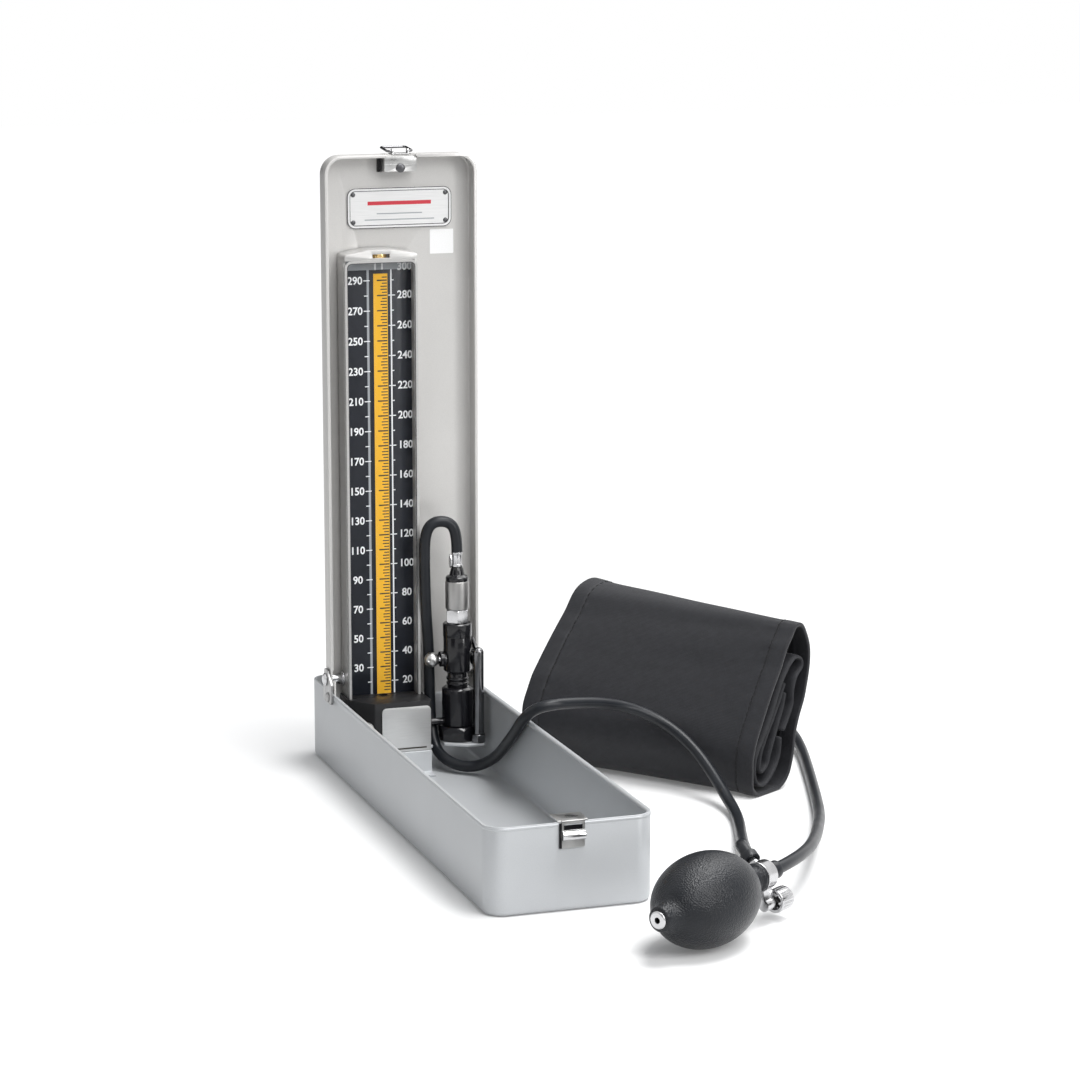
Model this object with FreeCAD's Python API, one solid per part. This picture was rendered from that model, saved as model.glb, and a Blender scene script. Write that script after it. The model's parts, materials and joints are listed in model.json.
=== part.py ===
"""Desk mercury sphygmomanometer: case, manometer unit, cuff, bulb and hoses.

Millimetres. +X to the user's right, +Y to the back, +Z up. The origin is the middle of the
tray's underside. The model is built with the lid standing open at 90 degrees.
"""
import FreeCAD, Part
import math
import os

V = FreeCAD.Vector
X_AXIS, Y_AXIS, Z_AXIS = V(1, 0, 0), V(0, 1, 0), V(0, 0, 1)

# ---- fits -------------------------------------------------------------------------------
RUN = 0.1            # radial clearance of a shaft that turns in its hole
CLEAR = 0.3          # gap between pieces that pass or face each other

# ---- case -------------------------------------------------------------------------------
CASE_W = 100.0       # outside width of tray and lid
CASE_L = 384.0       # outside length of tray and lid
TRAY_H = 52.0        # tray height
TRAY_T = 1.3         # tray sheet
CORNER_R = 12.0      # upright corners of tray and lid
FOLD_R = 3.0         # rounded fold round the tray's floor
LID_D = 14.0         # lid depth
LID_T = 1.2          # lid sheet
LID_FOLD_R = 2.2     # rounded fold round the lid's panel
HEM_T = 0.7          # how far the lid's hemmed rim stands inside its sheet
HEM_D = 2.4          # depth of that hem
PIN_REAR = 46.0      # hinge axis, from the case's rear end
PIN_UP = 8.0         # hinge axis above the tray's rim
TAIL_CLEAR = 0.7     # lid's narrow tail inside the tray's walls

# ---- hinge ------------------------------------------------------------------------------
PLATE_T = 1.6        # hinge plates, outside the tray's walls
PLATE_FRONT = 13.0   # plate reach in front of the hinge axis
PLATE_BACK = 6.5     # plate reach behind it
PLATE_LOW = 14.5     # plate reach below it
PLATE_TOP = 7.0      # plate reach above it
PIN_R = 2.5
BARREL_R = 3.75
WASHER_R = 5.0
WASHER_T = 1.0
PIN_HEAD_R = 4.2
PIN_HEAD_H = 1.7
SCREW_R = 1.6
SCREW_HEAD_R = 3.2
SCREW_HEAD_H = 1.4

# ---- manometer housing ------------------------------------------------------------------
HOUSING_W = 47.8
HOUSING_LEFT = 10.2  # housing's left side, from the lid's left side
HOUSING_T = 1.6
HOUSING_DOWN = 65.5  # housing's upper edge below the lid's end
COVER_D = 3.0        # depth of the clear cover in front of the housing
COVER_T = 1.5
HOUSING_D = 14.5     # depth of the housing behind the cover
STANDOFF = 2.6       # gap between housing and lid panel, filled by the spacers
CAP_RISE = 6.5       # height of the housing's shouldered cap
CAP_SHOULDER = 3.7   # height of its shoulders
CAP_FLAT = 14.0      # width of the flat on top of the cap
CAP_WINDOW = 11.3    # width of the slit in its front
SCALE_T = 1.0
SCALE_BACK = 9.0     # scale plate's front face behind the cover's front face
TUBE_R = 3.2
TUBE_BORE_R = 2.2
TUBE_BACK = 5.4      # tube axis behind the cover's front face
TUBE_CAP_R, TUBE_CAP_H = 5.0, 4.4
TUBE_IN = 3.0        # how far the glass stands up inside its cap
GLAND_R, GLAND_H = 5.0, 3.0
SPACER_R = 4.0
SPACER_IN = (35.8, 26.0)   # spacers, in from the housing's lower and upper ends

# ---- cistern block and shelf ------------------------------------------------------------
SHELF_T = 1.7
SHELF_DEEP = 44.8    # shelf's front edge from the lid's panel, clear of the tray's floor as it swings
SHELF_REAR_IN = 10.0 # shelf's rear corners, in from the case's sides
SHELF_SIDE_IN = 6.4  # shelf's right edge, in from the case's side
SHELF_UP = 27.0      # height of the shelf's upright flange
BLOCK_H = 30.0
BLOCK_DEEP = 39.1    # block's front face from the lid's panel
BLOCK_PROUD = 1.2    # block's left side beyond the housing
BLOCK_GAP = 21.0     # block's right side from the column's axis
BLOCK_CHAMFER_X = 12.6
BLOCK_CHAMFER_Y = 18.0
LABEL_W, LABEL_H, LABEL_T = 32.6, 30.0, 0.8
STOP_W, STOP_T, STOP_DEPTH = 21.0, 1.5, 10.0
HOSE_NOTCH = 8.5     # notch in the shelf that lets the hose down
NOTCH_BACK = 12.5    # notch's rear end behind the column's axis
NOTCH_FRONT = 10.0   # shelf's corner in front of the column's axis
RIVET_R = 2.6
RIVET_DOWN = 6.0     # rivets below the flange's top
RIVET_OUT = (-13.0, 3.0)   # rivets, from the column's axis

# ---- reservoir column -------------------------------------------------------------------
COLUMN_IN = 19.0     # column's axis, in from the case's side
COLUMN_OUT = 27.1    # column's axis, out from the lid's panel
BASE_NUT_AF, BASE_NUT_H = 24.0, 9.5
RESERVOIR_R, RESERVOIR_H = 10.2, 25.5
RESERVOIR_WALL = 2.0
NECK_R, NECK_H = 6.6, 9.0
TAP_R, TAP_H = 9.1, 33.5
TAP_STEP = 9.0       # height of the wider top ring of the tap body
TAP_BORE_R = 1.8
LOCK_NUT_AF, LOCK_NUT_H = 13.6, 9.0
SLEEVE_R, SLEEVE_H = 7.7, 18.6
CONE_R, CONE_H = 7.4, 9.6
FERRULE_R, FERRULE_H = 3.7, 9.3
BARB_R = 1.9
MERCURY_H = 7.3
SPINDLE_R = 2.4
SPINDLE_UP = 9.8     # tap spindle axis above the tap body's foot
COLLAR_R, COLLAR_L = 5.0, 3.5
BALL_R, BALL_OUT = 4.9, 17.4
PIPE_R, PIPE_BORE_R = 2.5, 1.3
PIPE_UP = 12.5       # link pipe above the shelf
POST_SIDE, POST_FRONT = 10.0, 13.5   # side post, right of and in front of the column's axis
POST_R = 3.5
POST_H = 63.0
POST_NUT_AF, POST_NUT_H = 8.2, 5.5
ARM_T, ARM_W = 1.6, 5.0

# ---- catch and hasp ---------------------------------------------------------------------
CATCH_T = 1.0
CATCH_TOP_W, CATCH_TOP_D = 18.0, 14.5
CATCH_W, CATCH_DROP = 13.6, 15.0
CATCH_WINDOW = 3.8
ROLL_R, ROLL_UP = 2.9, 7.6   # rolled hook below the tray's rim
KEEPER_W, KEEPER_H, KEEPER_T = 21.0, 9.8, 1.0
HASP_R = 0.8
HASP_W, HASP_L = 16.4, 16.0
HASP_OUT = 2.0       # hasp axis beyond the lid's end
HASP_IN = 3.2        # hasp axis behind the lid's rim
HASP_LEAN = 5.0      # degrees above level at rest
HASP_LUG_T = 1.2
HASP_BEND = 2.2

# ---- name plate -------------------------------------------------------------------------
NAME_W, NAME_H, NAME_T = 69.0, 25.6, 0.8
NAME_X = 2.0
NAME_DOWN = 34.5     # plate's middle below the lid's end
NAME_SCREW_R = 1.5

# ---- bulb and release valve -------------------------------------------------------------
BULB_X, BULB_Y = 47.7, -274.1
BULB_AZ, BULB_TILT = 33.0, 1.0   # heading of the neck from +X, and its rise
BULB_R, BULB_HALF_L, BULB_WALL = 26.1, 37.0, 2.6
NECK_OUT_R, NECK_AT = 7.0, 48.0  # rubber neck and where it ends, from the bulb's middle
NECK_LIP = 1.3                   # raised lip at the neck's end
INLET_R, INLET_BORE_R, INLET_AT = 5.0, 1.7, 43.0
INLET_SEAT = 6.0                 # depth of the flap's seat inside the inlet
FLAP_R, FLAP_T, FLAP_TRAVEL = 2.9, 0.8, 1.0
VALVE_R, VALVE_L, VALVE_BORE_R = 8.2, 10.5, 2.4
BOSS_R, BOSS_L = 3.4, 9.5        # boss of the release screw, under the valve body
BOSS_SIDE, BOSS_DROP = 4.0, 16.0
KNOB_R, KNOB_L, KNOB_WALL = 6.7, 11.0, 1.7
KNURLS = 20
STEM_R = 1.9
NEEDLE_R = 0.6
RELEASE_TURNS, RELEASE_PITCH = 1.5, 1.0
PORT_R, PORT_L = 3.4, 3.2        # hose ports' stubs

# ---- hoses ------------------------------------------------------------------------------
HOSE_R = 3.6
COLLAR_OUT_R, COLLAR_LONG = 5.2, 5.0     # black ferrules where the hoses meet the valve

# ---- cuff -------------------------------------------------------------------------------
CUFF_X, CUFF_Y = 182.7, -11.7    # front lower corner of the rolled cuff's right end
CUFF_AZ = 122.1      # heading of the roll's axis from +X
CUFF_L = 160.0
CUFF_T = 5.0         # thickness of the folded cloth wall
CUFF_NEAR = [(10, 0), (2, 4), (0.5, 16), (2, 30), (12, 52), (27, 77), (41, 98), (49, 105), (57, 98), (62, 80),
             (57.5, 60), (48, 38), (45, 20), (38, 6), (24, 0)]
CUFF_FAR = [(0, 0), (-16, 5), (-28, 18), (-34, 38), (-27, 56), (-10, 77), (8, 96), (27, 113), (52, 110), (58, 90),
            (56, 62), (52, 40), (46, 20), (36, 6), (18, 0)]
CUFF_PORT = (56.5, 62)           # hose connector on the cuff's back, across and up
BLADDER_T = 7.0
LAYER_GAP = 0.5


# ---- places worked out from the sizes ---------------------------------------------------
HINGE_Y = CASE_L / 2 - PIN_REAR
HINGE_Z = TRAY_H + PIN_UP
RIM_Y = HINGE_Y - PIN_UP + CLEAR          # lid's rim plane, open
LID_BACK = RIM_Y + LID_D
PANEL_Y = LID_BACK - LID_T                # front face of the lid's panel
LID_TOP = HINGE_Z - PIN_REAR + CASE_L
TAIL_INSET = TRAY_T + TAIL_CLEAR
LID_LOW = HINGE_Z - PIN_REAR + TAIL_INSET
TAIL_TOP = TRAY_H + 2 * CLEAR             # where the lid's full width begins
HALF_W = CASE_W / 2

HOUSING_TOP = LID_TOP - HOUSING_DOWN
NAME_Z = LID_TOP - NAME_DOWN
HOUSING_X0 = -HALF_W + HOUSING_LEFT
HOUSING_X1 = HOUSING_X0 + HOUSING_W
HOUSING_BACK = PANEL_Y - STANDOFF
COVER_BACK = HOUSING_BACK - HOUSING_D
COVER_FRONT = COVER_BACK - COVER_D
TUBE_X = (HOUSING_X0 + HOUSING_X1) / 2
TUBE_Y = COVER_FRONT + TUBE_BACK

COLUMN_X = HALF_W - COLUMN_IN
COLUMN_Y = PANEL_Y - COLUMN_OUT
POST_X = COLUMN_X + POST_SIDE
POST_Y = COLUMN_Y - POST_FRONT
BLOCK_LEFT = HOUSING_X0 - BLOCK_PROUD
BLOCK_RIGHT = COLUMN_X - BLOCK_GAP
BLOCK_FRONT = PANEL_Y - BLOCK_DEEP
SHELF_FRONT = PANEL_Y - SHELF_DEEP
SHELF_HALF_REAR = HALF_W - SHELF_REAR_IN
SHELF_RIGHT = HALF_W - SHELF_SIDE_IN

SHELF_Z = LID_LOW + LID_T + CLEAR
SHELF_TOP = SHELF_Z + SHELF_T
BLOCK_TOP = SHELF_TOP + BLOCK_H
SPACER_Z = (BLOCK_TOP + SPACER_IN[0], HOUSING_TOP - SPACER_IN[1])

RESERVOIR_Z = SHELF_TOP + BASE_NUT_H
RESERVOIR_TOP = RESERVOIR_Z + RESERVOIR_H
TAP_Z = RESERVOIR_TOP + NECK_H
TAP_TOP = TAP_Z + TAP_H
SLEEVE_Z = TAP_TOP + LOCK_NUT_H
CONE_Z = SLEEVE_Z + SLEEVE_H
FERRULE_Z = CONE_Z + CONE_H
FERRULE_TOP = FERRULE_Z + FERRULE_H
SPINDLE_Z = TAP_Z + SPINDLE_UP
PIPE_Z = SHELF_TOP + PIPE_UP

BULB_Z = math.hypot(BULB_R * math.cos(math.radians(BULB_TILT)), BULB_HALF_L * math.sin(math.radians(BULB_TILT)))
SPIGOT_R = PIN_R - 0.7
BODY_END = NECK_AT + VALVE_L
KNOB_FACE = BODY_END + CLEAR

HASP_Y = RIM_Y + HASP_IN
HASP_Z = LID_TOP + HASP_OUT
CATCH_FACE_Y = -CASE_L / 2


# ---- small builders ---------------------------------------------------------------------
def block(x0, x1, y0, y1, z0, z1):
    return Part.makeBox(x1 - x0, y1 - y0, z1 - z0, V(x0, y0, z0))


def rod(start, axis, radius, length):
    return Part.makeCylinder(radius, length, start, axis)


def tube(start, axis, radius, bore, length):
    return rod(start, axis, radius, length).cut(rod(start, axis, bore, length))


def prism(points, along, depth):
    """A flat outline of 3-D points pushed along a direction."""
    face = Part.Face(Part.makePolygon(points + [points[0]]))
    return face.extrude(along * depth)


def edges_along(shape, direction, where=None):
    """Straight edges that run along a direction, kept where a test says so."""
    chosen = []
    for edge in shape.Edges:
        if edge.Curve.TypeId != "Part::GeomLine":
            continue
        run = (edge.Vertexes[1].Point - edge.Vertexes[0].Point).normalize()
        if abs(abs(run.dot(direction)) - 1) < 1e-6 and (where is None or where(edge.CenterOfMass)):
            chosen.append(edge)
    return chosen


def rounded_slab(x0, x1, y0, y1, z0, z1, along, radius):
    slab = block(x0, x1, y0, y1, z0, z1)
    return slab.makeFillet(radius, edges_along(slab, along))


def edges_in_plane(shape, axis, value):
    """Edges that lie wholly in the plane where the axis coordinate has this value."""
    found = []
    for edge in shape.Edges:
        ends = [p.dot(axis) for p in edge.discretize(5)]
        if all(abs(v - value) < 1e-6 for v in ends):
            found.append(edge)
    return found


def turned(profile, origin, axis):
    """A solid of revolution from (radius, height) pairs round an axis through the origin."""
    side = X_AXIS if abs(axis.dot(X_AXIS)) < 0.9 else Y_AXIS
    side = (side - axis * side.dot(axis)).normalize()
    points = [origin + side * r + axis * h for r, h in profile]
    face = Part.Face(Part.makePolygon(points + [points[0]]))
    return face.revolve(origin, axis, 360)


def corner_arc(before, corner, after, setback):
    """Arc that rounds a corner, its two ends and its radius."""
    back, ahead = (before - corner).normalize(), (after - corner).normalize()
    turn = math.pi - back.getAngle(ahead)
    radius = setback / math.tan(turn / 2)
    enter, leave = corner + back * setback, corner + ahead * setback
    inside = (back + ahead).normalize() * (radius / math.cos(turn / 2) - radius)
    return Part.Arc(enter, corner + inside, leave).toShape(), enter, leave, radius


def hexagon(x, y, z, across_flats, height, turn=0.0):
    """Nut with both faces bevelled."""
    radius = across_flats / math.sqrt(3)
    points = []
    for k in range(6):
        angle = math.radians(turn + 60 * k)
        points.append(V(x + radius * math.cos(angle), y + radius * math.sin(angle), z))
    nut = prism(points, Z_AXIS, height)
    bevel = 0.08 * across_flats
    cone = turned([(0, 0), (radius - bevel, 0), (radius, bevel), (radius, height - bevel),
                   (radius - bevel, height), (0, height)], V(x, y, z), Z_AXIS)
    return nut.common(cone)


def mirrored(shape):
    return shape.mirror(V(0, 0, 0), X_AXIS)


def column_turned(profile):
    return turned(profile, V(COLUMN_X, COLUMN_Y, 0), Z_AXIS)


# ---- case -------------------------------------------------------------------------------
def make_tray():
    outer = rounded_slab(-HALF_W, HALF_W, -CASE_L / 2, CASE_L / 2, 0, TRAY_H, Z_AXIS, CORNER_R)
    outer = outer.makeFillet(FOLD_R, edges_in_plane(outer, Z_AXIS, 0))
    inner = rounded_slab(-HALF_W + TRAY_T, HALF_W - TRAY_T, -CASE_L / 2 + TRAY_T, CASE_L / 2 - TRAY_T,
                         TRAY_T, TRAY_H + FOLD_R, Z_AXIS, CORNER_R - TRAY_T)
    inner = inner.makeFillet(FOLD_R - TRAY_T, edges_in_plane(inner, Z_AXIS, TRAY_T))
    tray = outer.cut(inner)
    for spot in hinge_screw_spots():
        tray = tray.cut(rod(V(-HALF_W - 1, spot[0], spot[1]), X_AXIS, spot[2], CASE_W + 2))
    return tray


def hinge_screw_spots():
    """(y, z, radius) of the fasteners that hold each hinge plate to its wall."""
    return [(HINGE_Y - 5, HINGE_Z - PLATE_LOW + 3.6, SCREW_R)]


def make_hinge_plate():
    y0, y1 = HINGE_Y - PLATE_FRONT, HINGE_Y + PLATE_BACK
    z0, z1 = HINGE_Z - PLATE_LOW, HINGE_Z + PLATE_TOP
    outline = [(y0, z0), (y0, HINGE_Z - 1), (HINGE_Y - 4, z1), (HINGE_Y + 3, z1), (y1, HINGE_Z - 1), (y1, z0)]
    plate = prism([V(HALF_W, y, z) for y, z in outline], X_AXIS, PLATE_T)
    plate = plate.makeFillet(2.5, edges_along(plate, X_AXIS))
    relief = block(HALF_W, HALF_W + CLEAR, y0 - 1, y1 + 1, TRAY_H - CLEAR, z1 + 1)
    plate = plate.cut(relief)
    plate = plate.cut(rod(V(HALF_W - 1, HINGE_Y, HINGE_Z), X_AXIS, PIN_R + RUN, PLATE_T + 2))
    for y, z, radius in hinge_screw_spots():
        plate = plate.cut(rod(V(HALF_W - 1, y, z), X_AXIS, radius, PLATE_T + 2))
    return plate


def make_hinge_screw_side():
    face = HALF_W + PLATE_T
    inside = HALF_W - TRAY_T
    solids = []
    for index, (y, z, radius) in enumerate(hinge_screw_spots()):
        head_r = SCREW_HEAD_R if index == 0 else 2 * radius
        origin = V(inside, y, z)
        depth = face - inside
        screw = turned([(0, 0), (radius, 0), (radius, depth), (head_r, depth), (head_r, depth + 0.5),
                        (0.7 * head_r, depth + SCREW_HEAD_H), (0, depth + SCREW_HEAD_H)], origin, X_AXIS)
        if index == 0:
            slot = block(face + 0.7, face + 3, y - 0.4, y + 0.4, z - head_r, z + head_r)
            screw = screw.cut(slot)
        solids.append(screw)
    return solids


def make_hinge_pin(carried):
    """Right-hand hinge pin: head outside the plate, barrel inside the lid's wall.

    A carried pin runs on as a spigot into the housing's side; the other is clinched short.
    """
    housing_face = HALF_W - HOUSING_LEFT
    barrel_in = housing_face + WASHER_T
    barrel_out = HALF_W - LID_T
    head = HALF_W + PLATE_T + RUN
    if carried:
        inner = [(0, housing_face - HOUSING_T), (SPIGOT_R, housing_face - HOUSING_T), (SPIGOT_R, barrel_in),
                 (BARREL_R, barrel_in)]
    else:
        inner = [(0, barrel_in), (BARREL_R - 1.2, barrel_in), (BARREL_R, barrel_in + 1.2)]
    outer = [(BARREL_R, barrel_out), (PIN_R, barrel_out), (PIN_R, head), (PIN_HEAD_R, head),
             (PIN_HEAD_R, head + 0.6), (0.6 * PIN_HEAD_R, head + PIN_HEAD_H), (0, head + PIN_HEAD_H)]
    return turned(inner + outer, V(0, HINGE_Y, HINGE_Z), X_AXIS)


def make_hinge_pins():
    """Both pins, and the washer between the left barrel and the housing."""
    washer = tube(V(HALF_W - HOUSING_LEFT, HINGE_Y, HINGE_Z), X_AXIS, WASHER_R, SPIGOT_R, WASHER_T)
    return Part.makeCompound([make_hinge_pin(False), mirrored(make_hinge_pin(True)), mirrored(washer)])


def lid_form(inset, depth, front, fold):
    """Full-width pan above the rim and narrow tail below it, as one solid."""
    back = front + depth
    low = LID_LOW + inset
    wide = rounded_slab(-HALF_W + inset, HALF_W - inset, front, back, low, LID_TOP - inset, Y_AXIS,
                        CORNER_R - inset)
    wide = wide.makeFillet(fold, edges_in_plane(wide, Y_AXIS, back))
    wide = wide.cut(block(-CASE_W, CASE_W, front - 1, back + 1, 0, TAIL_TOP + inset))
    corner = block(-CASE_W, CASE_W, front - 1, HINGE_Y, 0, HINGE_Z)
    corner = corner.cut(rod(V(-CASE_W, HINGE_Y, HINGE_Z), X_AXIS, PIN_UP - CLEAR - inset, 2 * CASE_W))
    wide = wide.cut(corner)
    half = HALF_W - TAIL_INSET - inset
    tail = rounded_slab(-half, half, front, back, low, low + 3 * TRAY_H, Y_AXIS, CORNER_R - TAIL_INSET - inset)
    tail = tail.makeFillet(fold, edges_in_plane(tail, Y_AXIS, back))
    tail = tail.cut(block(-CASE_W, CASE_W, front - 1, back + 1, HINGE_Z, 6 * TRAY_H))
    return wide.fuse(tail).removeSplitter()


def make_lid():
    shell = lid_form(0, LID_D, RIM_Y, LID_FOLD_R)
    hollow = lid_form(LID_T, LID_D - LID_T + 1, RIM_Y - 1, LID_FOLD_R - LID_T)
    shell = shell.cut(hollow)
    hem_low = HINGE_Z + PLATE_TOP
    inside = HALF_W - LID_T
    hem = rounded_slab(-inside, inside, RIM_Y, RIM_Y + HEM_D, LID_LOW, LID_TOP - LID_T, Y_AXIS, CORNER_R - LID_T)
    mouth = rounded_slab(-inside + HEM_T, inside - HEM_T, RIM_Y, RIM_Y + HEM_D, LID_LOW, LID_TOP - LID_T - HEM_T,
                         Y_AXIS, CORNER_R - LID_T - HEM_T)
    hem = hem.cut(mouth).cut(block(-CASE_W, CASE_W, 0, CASE_L, 0, hem_low))
    shell = shell.fuse(hem).removeSplitter()
    shell = shell.cut(rod(V(-CASE_W, HINGE_Y, HINGE_Z), X_AXIS, PIN_R, 2 * CASE_W))
    notch_half = CATCH_TOP_W / 2 + 2 * CLEAR
    notch_d = CATCH_T + 3 * CLEAR
    notch_low = LID_TOP - CATCH_TOP_D - 2
    shell = shell.cut(block(-notch_half, notch_half, RIM_Y - 1, RIM_Y + notch_d, notch_low, LID_TOP + 1))
    keeper_top = LID_TOP - LID_T
    shell = shell.cut(block(-KEEPER_W / 2, KEEPER_W / 2, RIM_Y, RIM_Y + HEM_D, keeper_top - KEEPER_H, keeper_top))
    for z in SPACER_Z:
        shell = shell.cut(rod(V(TUBE_X, LID_BACK + 1, z), -Y_AXIS, SCREW_R, LID_T + 2))
    return shell


# ---- catch and hasp ---------------------------------------------------------------------
def make_catch_plate():
    top = block(-CATCH_TOP_W / 2, CATCH_TOP_W / 2, CATCH_FACE_Y, CATCH_FACE_Y + CATCH_TOP_D, TRAY_H,
                TRAY_H + CATCH_T)
    top = top.makeFillet(1.0, edges_along(top, Z_AXIS, lambda p: p.y > CATCH_FACE_Y + 1))
    front = block(-CATCH_W / 2, CATCH_W / 2, CATCH_FACE_Y - CATCH_T, CATCH_FACE_Y, TRAY_H - CATCH_DROP,
                  TRAY_H + CATCH_T)
    window = block(-CATCH_W / 2 + 1.2, CATCH_W / 2 - 1.2, CATCH_FACE_Y - CATCH_T - 1, CATCH_FACE_Y,
                   TRAY_H - CATCH_WINDOW - 0.9, TRAY_H - 0.9)
    return top.fuse(front.cut(window)).removeSplitter()


def make_catch_hook():
    """Rolled hook on the catch's front face, which the hasp's loop drops over."""
    face = CATCH_FACE_Y - CATCH_T
    z = TRAY_H - ROLL_UP
    half = CATCH_W / 2
    roll = rod(V(-half, face, z), X_AXIS, ROLL_R, CATCH_W)
    return roll.common(block(-half, half, face - ROLL_R, face, z - ROLL_R, z + ROLL_R))


def keeper_screw_z():
    return LID_TOP - LID_T - 0.75 * KEEPER_H


def make_keeper():
    """Folded keeper in the lid's end, with two lugs that carry the hasp outside it."""
    x0, x1 = -KEEPER_W / 2, KEEPER_W / 2
    front = RIM_Y + CATCH_T + 3 * CLEAR
    z1 = LID_TOP - LID_T
    z0 = z1 - KEEPER_H
    keeper = block(x0, x1, front, PANEL_Y, z0, z1)
    back_edge = edges_along(keeper, X_AXIS, lambda p: p.y > PANEL_Y - 0.01 and p.z > z1 - 0.01)
    keeper = keeper.makeChamfer(LID_FOLD_R - LID_T, back_edge)
    hollow = block(x0 + KEEPER_T, x1 - KEEPER_T, front + KEEPER_T, PANEL_Y, z0, z1 - KEEPER_T)
    keeper = keeper.cut(hollow).cut(rod(V(0, front, keeper_screw_z()), Y_AXIS, 1.2, KEEPER_T))
    groove = block(x0 - 1, x1 + 1, front - 1, front + 0.3, (z0 + z1) / 2 - 0.25, (z0 + z1) / 2 + 0.25)
    return keeper.cut(groove)


def make_keeper_screw():
    front = RIM_Y + CATCH_T + 3 * CLEAR
    z = keeper_screw_z()
    screw = turned([(0, 0), (2.9, 0), (2.9, 0.4), (2.0, 0.8), (0, 0.8)], V(0, front, z), -Y_AXIS)
    shank = rod(V(0, front, z), Y_AXIS, 1.2, KEEPER_T)
    return screw.fuse(shank)


def hasp_lug_x():
    """Inner face of each hasp lug, clear of the loop's bends."""
    return HASP_W / 2 - HASP_BEND - CLEAR - HASP_LUG_T


def make_hasp_lugs():
    """Ears riveted on the lid's end, inside the hasp's legs."""
    x_in = hasp_lug_x()
    x_out = x_in + HASP_LUG_T
    r = HASP_R + 0.9
    lugs = block(-x_out, x_out, HASP_Y - r - 0.4, HASP_Y + 6.5, LID_TOP, LID_TOP + 0.6)
    for x0 in (x_in, -x_out):
        ear = rod(V(x0, HASP_Y, HASP_Z), X_AXIS, r, HASP_LUG_T)
        ear = ear.fuse(block(x0, x0 + HASP_LUG_T, HASP_Y - r, HASP_Y + r, LID_TOP, HASP_Z))
        lugs = lugs.fuse(ear.removeSplitter())
    lugs = lugs.removeSplitter()
    return lugs.cut(rod(V(-HASP_W, HASP_Y, HASP_Z), X_AXIS, HASP_R + RUN, 2 * HASP_W))


def make_hasp():
    """Wire loop whose turned-in ends sit in the lugs, and whose far bar drops over the hook."""
    lean = math.radians(HASP_LEAN)
    out = V(0, math.cos(lean), math.sin(lean)) * HASP_L
    centre = V(0, HASP_Y, HASP_Z)
    half, end = X_AXIS * (HASP_W / 2), X_AXIS * (hasp_lug_x() - CLEAR)
    points = [centre - end, centre - half, centre - half + out, centre + half + out, centre + half, centre + end]
    edges, last = [], points[0]
    for before, corner, after in zip(points, points[1:], points[2:]):
        arc, enter, leave, _ = corner_arc(before, corner, after, HASP_BEND)
        edges += [Part.LineSegment(last, enter).toShape(), arc]
        last = leave
    edges.append(Part.LineSegment(last, points[-1]).toShape())
    ring = Part.Wire(Part.Circle(points[0], X_AXIS, HASP_R).toShape())
    return Part.Wire(edges).makePipeShell([ring], True, False)


# ---- manometer unit ---------------------------------------------------------------------
def make_housing():
    outer = block(HOUSING_X0, HOUSING_X1, COVER_BACK, HOUSING_BACK, BLOCK_TOP, HOUSING_TOP)
    hollow = block(HOUSING_X0 + HOUSING_T, HOUSING_X1 - HOUSING_T, COVER_BACK, HOUSING_BACK - HOUSING_T,
                   BLOCK_TOP, HOUSING_TOP)
    housing = outer.cut(hollow)
    for rib in scale_ribs():
        housing = housing.fuse(rib)
    housing = housing.removeSplitter()
    housing = housing.cut(rod(V(HOUSING_X0, HINGE_Y, HINGE_Z), X_AXIS, SPIGOT_R, HOUSING_T))
    for z in SPACER_Z:
        housing = housing.cut(rod(V(TUBE_X, HOUSING_BACK, z), -Y_AXIS, SCREW_R, HOUSING_T))
    return housing


def make_housing_cap():
    outline = [(HOUSING_X0, 0), (HOUSING_X1, 0), (HOUSING_X1, CAP_SHOULDER), (TUBE_X + CAP_FLAT / 2, CAP_RISE),
               (TUBE_X - CAP_FLAT / 2, CAP_RISE), (HOUSING_X0, CAP_SHOULDER)]
    cap = prism([V(x, COVER_FRONT, HOUSING_TOP + h) for x, h in outline], Y_AXIS, HOUSING_BACK - COVER_FRONT)
    cap = cap.makeFillet(2.0, edges_along(cap, Y_AXIS, lambda p: p.z > HOUSING_TOP + 1))
    cap = cap.cut(rod(V(TUBE_X, TUBE_Y, HOUSING_TOP), Z_AXIS, TUBE_CAP_R, TUBE_CAP_H))
    half = CAP_WINDOW / 2
    return cap.cut(block(TUBE_X - half, TUBE_X + half, COVER_FRONT - 1, TUBE_Y, HOUSING_TOP + 1.4, HOUSING_TOP + 3.8))


def make_cover():
    outer = block(HOUSING_X0, HOUSING_X1, COVER_FRONT, COVER_BACK, BLOCK_TOP, HOUSING_TOP)
    outer = outer.makeFillet(1.4, edges_along(outer, Z_AXIS, lambda p: p.y < COVER_FRONT + 0.1))
    hollow = block(HOUSING_X0 + COVER_T, HOUSING_X1 - COVER_T, COVER_FRONT + COVER_T, COVER_BACK, BLOCK_TOP,
                   HOUSING_TOP)
    return outer.cut(hollow)


def make_scale_plate():
    front = COVER_FRONT + SCALE_BACK
    return block(HOUSING_X0 + HOUSING_T, HOUSING_X1 - HOUSING_T, front, front + SCALE_T, BLOCK_TOP, HOUSING_TOP)


def scale_ribs():
    """Two ribs inside the housing's back that carry the scale plate."""
    front = COVER_FRONT + SCALE_BACK + SCALE_T
    back = HOUSING_BACK - HOUSING_T
    ribs = []
    for x in (HOUSING_X0 + HOUSING_T, HOUSING_X1 - HOUSING_T - 3):
        ribs.append(block(x, x + 3, front, back, BLOCK_TOP, HOUSING_TOP))
    return ribs


def make_glass_tube():
    low = SHELF_TOP + 6
    return tube(V(TUBE_X, TUBE_Y, low), Z_AXIS, TUBE_R, TUBE_BORE_R, HOUSING_TOP + TUBE_IN - low)


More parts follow.
